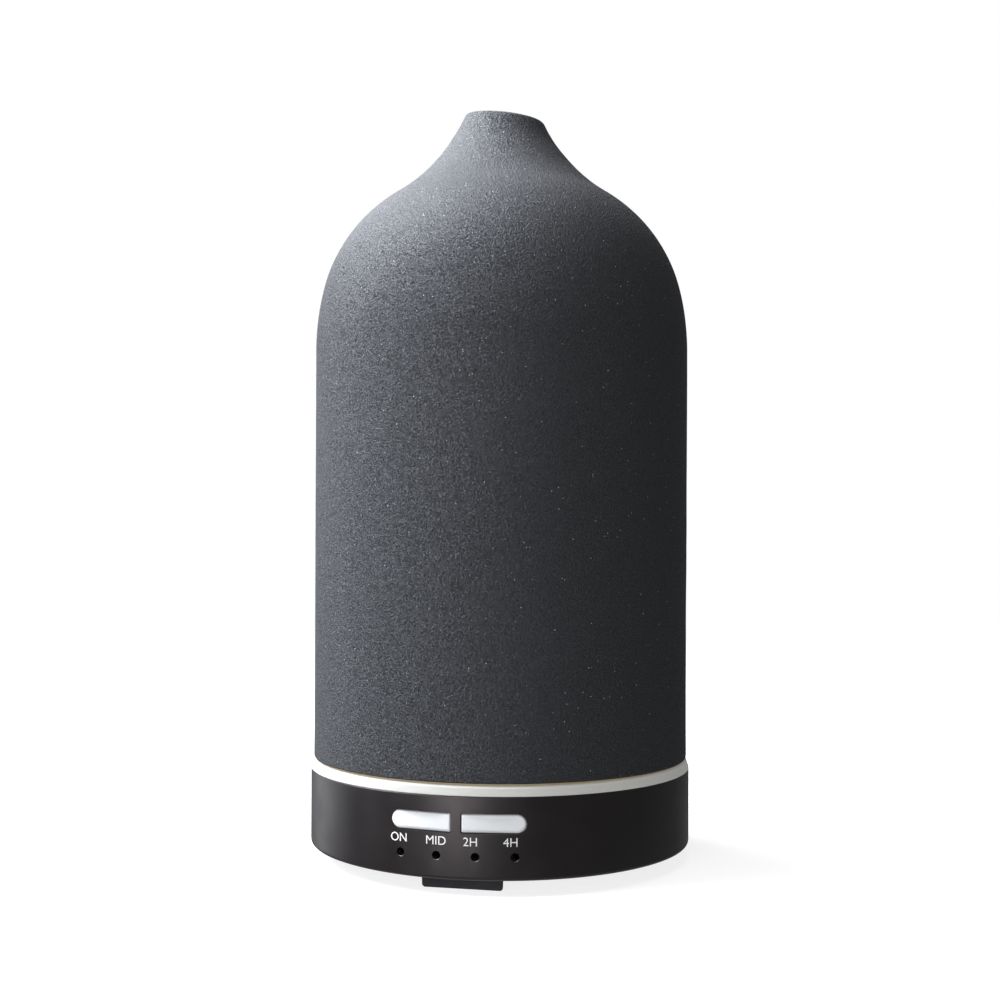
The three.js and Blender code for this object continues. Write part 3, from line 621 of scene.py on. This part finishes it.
STEEL = metal("zinc_plate", (0.62, 0.62, 0.64), 0.32)
BRASS = metal("sintered_brass", (0.66, 0.48, 0.22), 0.38)
ALUMINIUM = metal("extruded_aluminium", (0.66, 0.67, 0.68), 0.36, streak=(1, 1, 0.08))
PIEZO = metal("plated_disc", (0.68, 0.66, 0.60), 0.3, streak=(0.2, 1, 1))
COPPER = winding()
BOARD = circuit_board()
RED_WIRE = insulation("red_insulation", (0.42, 0.03, 0.02))
BLACK_WIRE = insulation("black_insulation", (0.02, 0.02, 0.02))
INK = white_ink()

# ---------- ceramic cover ----------

# Each arc of the outline: its radius, the lean from vertical at its end, 1 or -1 as it bulges out or in, and
# its number of steps.
COVER_ARCS = ((63, 14.1, 1, 24), (38.8, 57, 1, 40), (50.8, 25.5, -1, 30))

# The foot's rounded edge has nine points from underneath to the wall, and the glaze starts at this one.
# The glaze ends this many rings of points below the lip, inside the neck.
GLAZE_STARTS = 5
GLAZE_ENDS = 3


def cover_wall(inset):
    """The wall's outline above the shoulder, moved inwards by inset."""
    points = [(COVER_RADIUS - inset, SHOULDER_START)]
    lean = 0.0
    for full_radius, end, bulge, steps in COVER_ARCS:
        reach = bulge * (full_radius - bulge * inset)
        r, z = points[-1]
        centre_r = r - reach * math.cos(math.radians(lean))
        centre_z = z - reach * math.sin(math.radians(lean))
        for i in range(1, steps + 1):
            angle = math.radians(lean + (end - lean) * i / steps)
            points.append((centre_r + reach * math.cos(angle), centre_z + reach * math.sin(angle)))
        lean = end
    return points


def straight(r, low, high, steps):
    """The points between two heights of an upright wall, without its ends."""
    return [(r, low + (high - low) * i / steps) for i in range(1, steps)]


def ceramic_cover():
    """The cast shell, glazed outside and over the lip, bare clay inside."""
    bottom = COVER_LOW.z
    inner = COVER_RADIUS - COVER_WALL
    outside = cover_wall(0)
    inside = cover_wall(COVER_WALL)[::-1]
    lip_r = (outside[-1][0] + inside[0][0]) / 2
    lip_z = (outside[-1][1] + inside[0][1]) / 2
    lean = COVER_ARCS[-1][1]
    lip = arc(lip_r, lip_z, COVER_WALL / 2, lean, lean + 180, 16)[1:-1]
    edge, inner_edge = 0.9, 0.7
    outer_foot = arc(COVER_RADIUS - edge, bottom + edge, edge, -90, 0, 8)
    inner_foot = arc(inner + inner_edge, bottom + inner_edge, inner_edge, 180, 270, 6)
    wall = straight(COVER_RADIUS, bottom + edge, SHOULDER_START, 60)
    inner_wall = straight(inner, SHOULDER_START, bottom + inner_edge, 20)
    glazed = outer_foot[GLAZE_STARTS:] + wall + outside + lip
    raw = inside + inner_wall + inner_foot + outer_foot[:GLAZE_STARTS]
    rim = max(z for _, z in lip)
    bm = bmesh.new()
    turn(bm, glazed + raw, 256, material_at=lambda k: 0 if k < len(glazed) + GLAZE_ENDS else 1)
    slant_mouth(bm, rim)
    throw_marks(bm, bottom)
    obj = make_mesh("ceramic_cover_fine", bm, [GLAZE, CLAY], sharp=60)
    settle(obj, "cover", "stoneware", "ceramic_cover")


def slant_mouth(bm, rim):
    """Makes the neck longer along its own lean on one side and shorter on the other."""
    fall = Vector(around_axis(MOUTH_SLOPE, MOUTH_FALLS_TO))
    lean = math.tan(math.radians(COVER_ARCS[-1][1]))
    for vert in bm.verts:
        share = max(0.0, min(1.0, (vert.co.z - SLOPE_START) / (rim - SLOPE_START)))
        rise = -fall.dot(vert.co.xy) * share * share * (3 - 2 * share)
        vert.co.xy *= 1 - rise * lean / vert.co.xy.length
        vert.co.z += rise


def throw_marks(bm, bottom):
    """The slight unevenness of slip-cast ware, inwards only, fading out at the foot."""
    for vert in bm.verts:
        fade = min(1.0, (vert.co.z - bottom) / 12)
        slow = 0.5 + 0.5 * noise.noise(vert.co / 24)
        quick = 0.5 + 0.5 * noise.noise(vert.co / 5 + Vector((9, 4, 2)))
        depth = fade * (0.16 * slow + 0.05 * quick)
        outward = Vector((vert.co.x, vert.co.y, 0)).normalized()
        vert.co -= outward * depth


# ---------- base ----------


def wall_hole(outline, lip, side=-1):
    """A cutter through the base's wall that leaves a chamfer as wide as lip all along its edge."""
    rings = [
        on_wall(outline(lip * 2), BASE_RADIUS + lip, side),
        on_wall(outline(0), BASE_RADIUS - lip, side),
        at_y(outline(0), side * CUT_TO),
    ]
    return tool(rings)


def base_housing():
    """The round shell with its inner ledge, button slot, divider, indicator holes and socket hole."""
    ledge_inner, ledge_bottom, ledge_top = 43.9, 19.3, 19.75
    outline = rounded(
        [
            (BASE_INNER, BASE_BOTTOM, 0.25),
            (BASE_RADIUS, BASE_BOTTOM, 0.9),
            (BASE_RADIUS, BASE_TOP, 0.3),
            (BASE_INNER, BASE_TOP, 0.2),
            (BASE_INNER, ledge_top, 0),
            (ledge_inner, ledge_top, 0.1),
            (ledge_inner, ledge_bottom, 0.1),
            (BASE_INNER, ledge_bottom, 0),
        ],
        0.2,
        steps=5,
    )
    obj = turned("base_housing_fine", outline, 288, HOUSING)
    chamfer = ((0.62, 0.25), (0.12, -0.25), (0.04, -0.45))  # the slot's margin at each distance from the wall
    recess = tool([on_wall(pill(margin), BASE_RADIUS + out) for margin, out in chamfer])
    through = (-BASE_RADIUS - 1, -CUT_TO)
    windows = [tool([at_y(half_pill(side, 0), y) for y in through]) for side in (-1, 1)]
    led_holes = [wall_hole(lambda m, x=x: circle(x, LED_Z, LED_HOLE + m), 0.12) for x in LED_XS]
    socket = wall_hole(lambda m: circle(0, SOCKET_Z, SOCKET_HOLE + m, 48), 0.35, side=1)
    combine(obj, "DIFFERENCE", [recess, *windows, *led_holes, socket])
    settle(obj, "base", "housing_plastic", "base_housing")


def light_ring():
    """The milky ring between the base and the cover, leaning in to a narrow shoulder."""
    low, high = cad_box("light_ring")
    inner, top_edge, lean, shoulder = 39.5, 46.3, 0.6, 0.35
    outline = rounded(
        [
            (inner, low.z, 0.2),
            (high.x, low.z, 0.15),
            (high.x - lean, high.z - shoulder, 0.25),
            (top_edge, high.z, 0.25),
            (inner, high.z, 0.2),
        ],
        0.3,
        steps=6,
    )
    settle(turned("light_ring_fine", outline, 256, RING), "base", "ring_plastic", "light_ring")


def push_button(side, name):
    """A half-pill cap almost flush with the wall, its soft edge wider below, on a square flange."""
    gap = 0.2
    flange_near, flange_far, flange_front = 0.5, 17.2, -41.3
    edge_face, middle_face, edge, edge_below = 46.95, 47.4, 0.35, 0.9
    low, high = cad_box(name)
    rings = []
    for share in (1, 0.86, 0.7, 0.52, 0.34, 0.2, 0.1, 0.03, 0):
        swell = (1 - (1 - share) ** 2) ** 0.5
        outline = []
        for x, z in half_pill(side, -gap - edge * share, corner=0.25 - 0.05 * share):
            below = max(0.0, (SLOT_Z - z) / SLOT_RADIUS)
            outline.append((x, z + (edge_below - edge) * share * below))
        rings.append(on_wall(outline, edge_face + (middle_face - edge_face) * swell))
    rings.append(at_y(half_pill(side, -gap, corner=0.25), flange_front))
    bm = bmesh.new()
    skin(bm, rings)
    cap = make_mesh(name + "_fine", bm, [BUTTON])
    left, right = sorted((side * flange_near, side * flange_far))
    corners = [(left, low.z), (right, low.z), (right, high.z), (left, high.z)]
    flange = rounded(corners, 0.4)
    combine(cap, "UNION", [tool([at_y(flange, flange_front - 0.001), at_y(flange, high.y)])])
    settle(cap, name, "button_plastic", name)


# ---------- underside ----------


def intake_slots(bottom, top):
    """Round-ended air slots that fill a circle under the fan, each flared at its lower edge."""
    count, pitch, half_width, reach = 7, 3.3, 1.0, 11.5
    tools = []
    for i in range(count):
        offset = (i - (count - 1) / 2) * pitch
        run = math.sqrt(reach**2 - offset**2) - half_width
        rings = []
        for z, flare in ((bottom - 0.3, 0.6), (bottom + 0.3, 0), (top + 0.5, 0)):
            ends = arc(FAN_X + offset, run, half_width + flare, 0, 180, 8)
            ends += arc(FAN_X + offset, -run, half_width + flare, 180, 360, 8)
            rings.append(at_z(ends, z))
        tools.append(tool(rings))
    return tools


def bottom_cover():
    """The plate under the base, with its grille, board posts, screw seats and the button board's guides."""
    low, high = cad_box("bottom_cover")
    bottom = low.z
    corners = [(0, bottom, 0), (high.x, bottom, 0.4), (high.x, PLATE_TOP, 0.3), (0, PLATE_TOP, 0)]
    obj = turned("bottom_cover_fine", rounded(corners, 0.3), 192, UNDERSIDE)

    board_seat, root = 7.45, PLATE_TOP - 0.5
    board_post = ((root, 2.2), (board_seat - 0.2, 2.2), (board_seat, 2.0))
    joined = [post(x, y, *board_post) for x, y in BOARD_POSTS]
    guides = pair(16.5, 19.5, -37.2, -33.4, root, high.z)
    combine(obj, "UNION", joined + guides)

    grooves = pair(15.5, 17.8, -36.15, -34.65, PLATE_TOP, high.z + 1)
    cuts = intake_slots(bottom, PLATE_TOP) + grooves
    seat = ((bottom - 0.3, 3.8), (bottom + 0.3, 3.2), (bottom + 1.2, 3.2))
    hole = ((bottom, 1.7), (PLATE_TOP + 1, 1.7))
    for angle in CASE_POST_ANGLES:
        x, y = around_axis(CASE_POST_CIRCLE, angle)
        cuts += [post(x, y, *seat), post(x, y, *hole)]
    cuts += [post(x, y, (PLATE_TOP, 0.9), (board_seat + 1, 0.9)) for x, y in BOARD_POSTS]
    combine(obj, "DIFFERENCE", cuts)
    settle(obj, "base", "housing_plastic", "bottom_cover")


def cross(x, y, reach, half):
    """The outline of a screwdriver's cross."""
    corner = [(reach, -half), (reach, half), (half, half)]
    points = []
    for _ in range(4):
        points += [(x + a, y + b) for a, b in corner]
        corner = [(-b, a) for a, b in corner]
    return points


def screw(name, shaft, head_height, head_up):
    """A pan-head screw with a rolled thread and a cross recess, in the box of its CAD node."""
    low, high = cad_box(name)
    x, y = (low.x + high.x) / 2, (low.y + high.y) / 2
    head = (high.x - low.x) / 2
    length = high.z - low.z
    seat = length - head_height
    pitch = shaft * 0.5
    root = shaft * 0.8
    outline = [(0, 0), (root * 0.6, 0.05), (root, pitch)]
    turns = int((seat - 2 * pitch) / pitch)
    for i in range(turns):
        z = pitch * (i + 1.2)
        outline += [(shaft, z + pitch * 0.3), (root, z + pitch * 0.8)]
    outline += [(root, seat), (head * 0.95, seat), (head, seat + head_height * 0.15)]
    dome = arc(0, 0, 1, 20, 90, 8)
    crown = head_height * 0.8
    outline += [(head * min(1, r * 1.02), length - crown + crown * z) for r, z in dome[:-1]] + [(0, length)]
    place = (lambda z: low.z + z) if head_up else (lambda z: high.z - z)
    bm = bmesh.new()
    turn(bm, [(r, place(z)) for r, z in outline], 28, centre=(x, y))
    obj = make_mesh(name + "_fine", bm, [STEEL])
    depth = head_height * 0.65
    rings = [
        at_z(cross(x, y, head * 0.62, head * 0.15), place(length + 0.1)),
        at_z(cross(x, y, head * 0.36, head * 0.09), place(length - depth)),
    ]
    combine(obj, "DIFFERENCE", [tool(rings)])
    settle(obj, "base", "steel", name)


def foot(name, degrees):
    """A rubber block with rounded lower corners, softened all round. Its sides point at the axis."""
    half, corner, flare, top = 9.5, 0.8, 0.1, BASE_BOTTOM - 0.05
    outer, inner = 41, 32
    end = half - corner - flare
    outline = (
        arc(-end, corner, corner, 180, 270, 10)
        + arc(end, corner, corner, 270, 360, 10)
        + [(half, top), (-half, top)]
    )
    bm = bmesh.new()
    narrow = [(x * inner / outer, z) for x, z in outline]
    skin(bm, [at_y(outline, -outer), at_y(narrow, -inner)])
    turned_by = Matrix.Rotation(math.radians(degrees), 3, "Z")
    bmesh.ops.rotate(bm, cent=(0, 0, 0), matrix=turned_by, verts=bm.verts)
    obj = make_mesh(name + "_fine", bm, [FOOT])
    bevelled(obj, 0.35, 3, 50)
    settle(obj, "base", "foot_rubber", name)


def label(name, text, x):
    """Printed lettering wrapped round the wall, on a hair's breadth of ink."""
    curve = bpy.data.curves.new(name, "FONT")
    curve.body = text
    curve.align_x = "CENTER"
    curve.align_y = "CENTER"
    curve.size = 2.75
    curve.offset = -0.005
    curve.resolution_u = 6
    source = bpy.data.objects.new("text", curve)
    bpy.context.scene.collection.objects.link(source)
    mesh = bpy.data.meshes.new_from_object(source.evaluated_get(bpy.context.evaluated_depsgraph_get()))
    bpy.data.objects.remove(source)
    bm = bmesh.new()
    bm.from_mesh(mesh)
    bpy.data.meshes.remove(mesh)
    bmesh.ops.remove_doubles(bm, verts=bm.verts, dist=1e-5)
    made = bmesh.ops.extrude_face_region(bm, geom=bm.faces[:])
    raised = {v for v in made["geom"] if isinstance(v, bmesh.types.BMVert)}
    middle = math.asin(x / BASE_RADIUS)
    for vert in bm.verts:
        radius = BASE_RADIUS + (INK_HEIGHT if vert in raised else -0.05)
        angle = middle + vert.co.x / BASE_RADIUS
        vert.co = (radius * math.sin(angle), -radius * math.cos(angle), LABEL_Z + vert.co.y)
    settle(make_mesh(name, bm, [INK], sharp=60), "base", "button_plastic")


def labels():
    """A generic word or number over each indicator hole."""
    for name, text, x in (
        ("label_on", "ON", -13.4),
        ("label_mid", "MID", -4.5),
        ("label_2h", "2H", 3.35),
        ("label_4h", "4H", 12.1),
    ):
        label(name, text, x)


# ---------- inside ----------


def water_tank():
    """The cup with its flange, fill line and nozzle ring, the air riser and the four screw posts."""
    low, high = cad_box("water_tank")
    inner, outer = 37.2, 39.0
    floor_low, floor_top = 25.5, 27.5
    flange_low, flange_top = 24.85, 26.6
    fill = 56.0
    outline = rounded(
        [
            (8, floor_low, 0.2),
            (11.4, floor_low, 0.2),
            (11.4, 21.5, 0.2),
            (14, 21.5, 0.3),
            (14, floor_low, 0.4),
            (37, floor_low, 0.4),
            (37, 22.6, 0.2),
            (outer, 22.6, 0.2),
            (outer, flange_low, 0.2),
            (high.x, flange_low, 0.3),
            (high.x, flange_top, 0.4),
            (outer, flange_top, 0.8),
            (outer, high.z, 0.5),
            (inner, high.z, 0.5),
            (inner, fill + 0.3, 0.1),
            (inner - 0.3, fill + 0.1, 0.1),
            (inner - 0.3, fill - 0.1, 0.1),
            (inner, fill - 0.3, 0.1),
            (inner, floor_top, 3.0),
            (9.4, floor_top, 0.8),
            (8, floor_top - 0.6, 0.3),
        ],
        0.3,
        steps=5,
    )
    obj = turned("water_tank_fine", outline, 192, TANK)
    riser_x, riser_top = -27, 60
    riser_foot = [(26, 7), (27.4, 8), (27.8, 7.4), (28.6, 7.05)]
    riser_rim = [(riser_top - 0.4, 7), (riser_top - 0.1, 6.85), (riser_top, 6.6)]
    posts = [around_axis(CASE_POST_CIRCLE, angle) for angle in CASE_POST_ANGLES]
    joined = [post(riser_x, 0, *riser_foot, *riser_rim, steps=64)]
    joined += [post(x, y, (low.z, 2.9), (low.z + 0.3, 3.2), (26, 3.2)) for x, y in posts]
    combine(obj, "UNION", joined)
    cuts = [post(riser_x, 0, (24, 5.5), (riser_top - 0.35, 5.5), (riser_top + 0.4, 6.2), steps=64)]
    cuts += [post(x, y, (low.z - 1, 1.5), (19, 1.5)) for x, y in posts]
    cuts += [post(*around_axis(12.7, angle), (20, 0.9), (25, 0.9)) for angle in (90, 210, 330)]
    combine(obj, "DIFFERENCE", cuts)
    settle(obj, "base", "tank_plastic", "water_tank")


def inner_lid():
    """The domed splash lid: a skirt inside the tank, a rim on its edge, and the chimney in the middle."""
    low, high = cad_box("inner_lid")
    rim, chimney, bore, wall = high.x, 8.0, 6.6, 1.6
    rim_bottom, dome_foot, dome_top = 70.15, 71.7, 84.0
    skirt = 36.6

    def dome(inset):
        points = []
        for i in range(41):
            angle = math.pi / 2 * i / 40
            r = chimney + (rim - chimney - inset) * math.cos(angle)
            points.append((r, dome_foot - inset + (dome_top - dome_foot) * math.sin(angle), 0))
        return points

    under = [point for point in dome(wall) if bore + 2.5 < point[0] < skirt - wall - 1.0][::-1]
    over = [point for point in dome(0) if point[0] > chimney + 2.0]
    outline = rounded(
        [
            (bore, dome_top - wall - 0.05, 0.4),
            *under,
            (skirt - wall, rim_bottom + 0.4, 0.5),
            (skirt - wall, low.z, 0.4),
            (skirt, low.z, 0.4),
            (skirt, rim_bottom, 0.3),
            (rim, rim_bottom, 0.4),
            *over,
            (chimney, dome_top, 1.4),
            (chimney, high.z, 0.5),
            (bore, high.z, 0.5),
        ],
        0.3,
        steps=5,
    )
    settle(turned("inner_lid_fine", outline, 160, LID), "lid", "lid_plastic", "inner_lid")


def power_socket():
    """The jack's block with its round neck in the wall, and the pin down the middle of the bore."""
    low, high = cad_box("power_socket")
    face, shoulder, bore_depth = high.y, 44.7, 12
    corners = [(low.x, low.z), (high.x, low.z), (high.x, high.z), (low.x, high.z)]
    sides = rounded(corners, 0.6)
    obj = tool([at_y(sides, low.y), at_y(sides, shoulder)])
    obj.name = obj.data.name = "power_socket_fine"
    obj.data.materials.append(BLACK)
    neck = bar(0, SOCKET_Z, (shoulder - 1, 4), (face - 0.35, 4), (face - 0.1, 3.9), (face, 3.7), steps=64)
    combine(obj, "UNION", [neck])
    bore = bar(0, SOCKET_Z, (face - bore_depth, 3), (face - 0.5, 3), (face + 0.2, 3.5), steps=64)
    combine(obj, "DIFFERENCE", [bore])
    settle(obj, "base", "black_moulding", "power_socket")
    nose, sunk = 0.6, 4.6
    nose_start = face - sunk - nose
    dome = [(nose_start + nose * math.sin(a), math.cos(a)) for a in (0.5, 0.9, 1.2, 1.45)]
    pin = bar(0, SOCKET_Z, (face - bore_depth, 1.0), (nose_start, 1.0), *dome)
    pin.name = pin.data.name = "socket_pin"
    pin.data.materials.append(STEEL)
    smooth(pin)
    settle(pin, "base", "steel")


def blade_section(radius, start, middle):
    """One cross-section of a fan blade: a thin cambered foil, wrapped round the hub's axis at a radius."""
    share = (radius - 5.9) / 7.4
    pitch = math.radians(34 + 16 * share)
    chord, thickness, camber = 6.1, 0.85 - 0.2 * share, 0.45
    sweep = -0.12 * share
    stations = [i / 8 - 0.5 for i in range(9)]
    foil = [(t, 1) for t in stations] + [(t, -1) for t in stations[-2:0:-1]]
    points = []
    for t, side in foil:
        off = camber * (1 - 4 * t * t) + side * thickness / 2 * (1 - (2 * t) ** 4) ** 0.5
        along = t * chord
        across = -along * math.sin(pitch) + off * math.cos(pitch)
        up = along * math.cos(pitch) + off * math.sin(pitch)
        angle = start + sweep + across / radius
        points.append((FAN_X + radius * math.cos(angle), radius * math.sin(angle), middle + up))
    return points


def fan_impeller():
    """A cup-shaped hub with seven twisted blades."""
    low, high = cad_box("fan_impeller")
    middle = 9.15
    hub = rounded(
        [
            (0.95, low.z, 0.1),
            (6.4, low.z, 0.9),
            (6.4, high.z, 0.2),
            (5.5, high.z, 0.2),
            (5.5, low.z + 1.2, 0.4),
            (0.95, low.z + 1.2, 0.1),
        ],
        0.3,
        steps=5,
    )
    bm = bmesh.new()
    turn(bm, hub, 96, centre=(FAN_X, 0))
    obj = make_mesh("fan_impeller_fine", bm, [BLACK])
    blades = []
    for k in range(7):
        start = 2 * math.pi * k / 7
        blades.append(tool([blade_section(5.95 + 7.3 * i / 8, start, middle) for i in range(9)]))
    combine(obj, "UNION", blades)
    settle(obj, "fan_rotor", "black_moulding", "fan_impeller")


def status_led(name):
    """A small clear-domed diode on its side, pointing at its hole."""
    low, high = cad_box(name)
    x, z = (low.x + high.x) / 2, (low.z + high.z) / 2
    back, tip = high.y, low.y
    radius, collar = 1.2, 1.45
    stem = [(back, collar), (back - 0.6, collar), (back - 0.65, radius), (tip + radius, radius)]
    turns = (0.25, 0.5, 0.75, 1.0, 1.25, 1.48)
    dome = [(tip + radius - radius * math.sin(a), radius * math.cos(a)) for a in turns]
    obj = bar(x, z, *stem, *dome, steps=28)
    obj.name = obj.data.name = name + "_fine"
    obj.data.materials.append(LENS)
    smooth(obj)
    settle(obj, "base", "led_lens", name)


# ---------- studio ----------

CAMERA_ANGLE = 11.85
CAMERA_DISTANCE = 340
CAMERA_HEIGHT = 76.3
CAMERA_ROLL = 0.25
COOL = (0.94, 0.965, 1.0)
WORLD_LIGHT = 0.16
BELOW_LIGHT = 0.8
FLOOR_GLOW = 0.82


def stage():
    """A round pale light table that dissolves into the white surroundings and can't be seen from below.

    Only the camera sees it. The object gets the light that comes up through it from the world below.
    """
    bm = bmesh.new()
    bmesh.ops.create_circle(bm, cap_ends=True, segments=96, radius=1500)
    s = Surface("floor", roughness=0.9, Specular_IOR_Level=0.1, Emission_Strength=FLOOR_GLOW)
    s.set("Base Color", (0.3, 0.3, 0.3))
    s.set("Emission Color", (1, 1, 1))
    length = s.node("ShaderNodeVectorMath", {"operation": "LENGTH"}, Vector=s.place)
    far = s.between(length.outputs["Value"], 0.25, 0.9)
    behind = s.node("ShaderNodeNewGeometry").outputs["Backfacing"]
    unseen = s.maths("SUBTRACT", 1.0, s.node("ShaderNodeLightPath").outputs["Is Camera Ray"])
    clear = s.node("ShaderNodeBsdfTransparent").outputs["BSDF"]
    mix = s.node("ShaderNodeMixShader")
    s.give(mix.inputs[0], s.maths("MAXIMUM", unseen, s.maths("MAXIMUM", far, behind)))
    s.give(mix.inputs[1], s.shader.outputs["BSDF"])
    s.give(mix.inputs[2], clear)
    s.give(s.tree.nodes["Material Output"].inputs["Surface"], mix.outputs["Shader"])
    floor = make_mesh("floor", bm, [s.material])


def world():
    """White to look at, with a weaker even light on the object that grows towards straight below."""
    made = bpy.data.worlds.new("studio")
    bpy.context.scene.world = made
    made.use_nodes = True
    nodes, links = made.node_tree.nodes, made.node_tree.links
    direction = nodes.new("ShaderNodeSeparateXYZ")
    links.new(nodes.new("ShaderNodeTexCoord").outputs["Generated"], direction.inputs["Vector"])
    light = nodes.new("ShaderNodeMapRange")
    seen = nodes.new("ShaderNodeMapRange")
    for node, values in ((light, (-0.35, -1.0, WORLD_LIGHT, BELOW_LIGHT)), (seen, (0, 1, 0, 1))):
        for end, value in zip(("From Min", "From Max", "To Min", "To Max"), values):
            node.inputs[end].default_value = value
    links.new(direction.outputs["Z"], light.inputs["Value"])
    links.new(nodes.new("ShaderNodeLightPath").outputs["Is Camera Ray"], seen.inputs["Value"])
    links.new(light.outputs["Result"], seen.inputs["To Min"])
    background = nodes["Background"]
    background.inputs["Color"].default_value = (1, 1, 1, 1)
    links.new(seen.outputs["Result"], background.inputs["Strength"])


def area_light(name, degrees, height, distance, size, power, colour=(1, 1, 1), aim=95):
    """A soft box at an angle round the object, counted from the front towards +X, aimed at its axis."""
    lamp = bpy.data.lights.new(name, "AREA")
    lamp.shape = "RECTANGLE"
    lamp.size, lamp.size_y = (s * MM for s in size)
    lamp.energy = power
    lamp.color = colour
    obj = bpy.data.objects.new(name, lamp)
    x, y = around_axis(distance, degrees)
    obj.location = Vector((x, y, height)) * MM
    back = obj.location - Vector((0, 0, aim * MM))
    obj.rotation_mode = "QUATERNION"
    obj.rotation_quaternion = back.to_track_quat("Z", "Y")
    bpy.context.scene.collection.objects.link(obj)


def lights():
    """A window-like soft box high on the left, weak ones beside, in front and overhead, and a low rim."""
    area_light("key", CAMERA_ANGLE - 106, 1300, 950, (1400, 1000), 114, COOL)
    area_light("side", CAMERA_ANGLE - 85, 420, 700, (400, 500), 3.6, COOL)
    area_light("rim", CAMERA_ANGLE - 122, 60, 700, (400, 500), 0.9, COOL)
    area_light("fill", CAMERA_ANGLE - 25, 150, 1200, (600, 900), 7.5)
    area_light("top", CAMERA_ANGLE - 30, 1200, 250, (500, 500), 5)


def camera():
    """A level camera a little to the right of the buttons, at a standing object's half height."""
    data = bpy.data.cameras.new("camera")
    data.lens = 48.17
    data.shift_x = -0.001
    data.shift_y = 0.049
    data.clip_start = 0.01
    obj = bpy.data.objects.new("camera", data)
    x, y = around_axis(CAMERA_DISTANCE, CAMERA_ANGLE)
    obj.location = Vector((x, y, CAMERA_HEIGHT)) * MM
    look = Matrix.Rotation(math.radians(CAMERA_ANGLE), 4, "Z") @ Matrix.Rotation(math.radians(90), 4, "X")
    roll = Matrix.Rotation(math.radians(CAMERA_ROLL), 4, "Z")
    obj.rotation_mode = "QUATERNION"
    obj.rotation_quaternion = (look @ roll).to_quaternion()
    bpy.context.scene.collection.objects.link(obj)
    bpy.context.scene.camera = obj


# ---------- pieces that stay as CAD made them, and fasteners ----------

# The material of each of the record's slots.
NODE_MATERIALS = {
    "stoneware": GLAZE,
    "housing_plastic": HOUSING,
    "ring_plastic": RING,
    "tank_plastic": TANK,
    "lid_plastic": LID,
    "button_plastic": BUTTON,
    "foot_rubber": FOOT,
    "silicone": SILICONE,
    "steel": STEEL,
    "brass": BRASS,
    "copper": COPPER,
    "aluminium": ALUMINIUM,
    "circuit_board": BOARD,
    "black_moulding": BLACK,
    "piezo_plate": PIEZO,
    "led_lens": LENS,
    "connector_plastic": NYLON,
    "red_wire": RED_WIRE,
    "black_wire": BLACK_WIRE,
}

# Rounded edges, in millimetres.
EDGES = {
    "fan_frame": 0.3,
    "air_duct": 0.2,
    "piezo_retainer": 0.15,
    "piezo_gasket": 0.15,
    "tank_seal": 0.15,
    "main_board": 0.12,
    "button_board": 0.12,
    "led_ring_board": 0.1,
    "main_capacitor": 0.5,
    "small_capacitor": 0.35,
    "inductor": 0.25,
    "heat_sink": 0.15,
    "power_transistor": 0.25,
    "controller_chip": 0.15,
    "piezo_connector": 0.3,
    "fan_connector": 0.3,
    "mist_switch": 0.3,
    "light_switch": 0.3,
    "mist_plunger": 0.15,
    "light_plunger": 0.15,
    "fan_bearing": 0.1,
    "fan_magnet": 0.08,
    "fan_shaft": 0.1,
}


def carried_over():
    """Gives every CAD node its slot's material and smooth shading, and those that stay a rounded edge."""
    for entry in frame["record"]["subparts"]:
        node = frame["nodes"][entry["node"]]
        node.data.materials.clear()
        node.data.materials.append(NODE_MATERIALS[entry["material_slot"]])
        smooth(node, 32)
        if entry["node"] in EDGES:
            bevelled(node, EDGES[entry["node"]])


def screws():
    """Every screw: its thread's radius, the height of its head, and which way up it stands."""
    for i in range(1, 5):
        screw(f"case_screw_{i}", 1.4, 1.0, head_up=False)
    for i in range(1, 4):
        screw(f"board_screw_{i}", 0.8, 1.1, head_up=True)
        screw(f"retainer_screw_{i}", 0.75, 0.9, head_up=False)
    for i in range(1, 3):
        screw(f"fan_screw_{i}", 1.2, 1.0, head_up=True)


camera()
world()
lights()
stage()
carried_over()
ceramic_cover()
light_ring()
base_housing()
push_button(-1, "mist_button")
push_button(1, "light_button")
foot("foot_front", 0)
foot("foot_right", 120)
foot("foot_left", 240)
labels()
bottom_cover()
screws()
water_tank()
inner_lid()
power_socket()
fan_impeller()
for number in range(1, 5):
    status_led(f"status_led_{number}")

bpy.context.scene.view_settings.view_transform = "Standard"
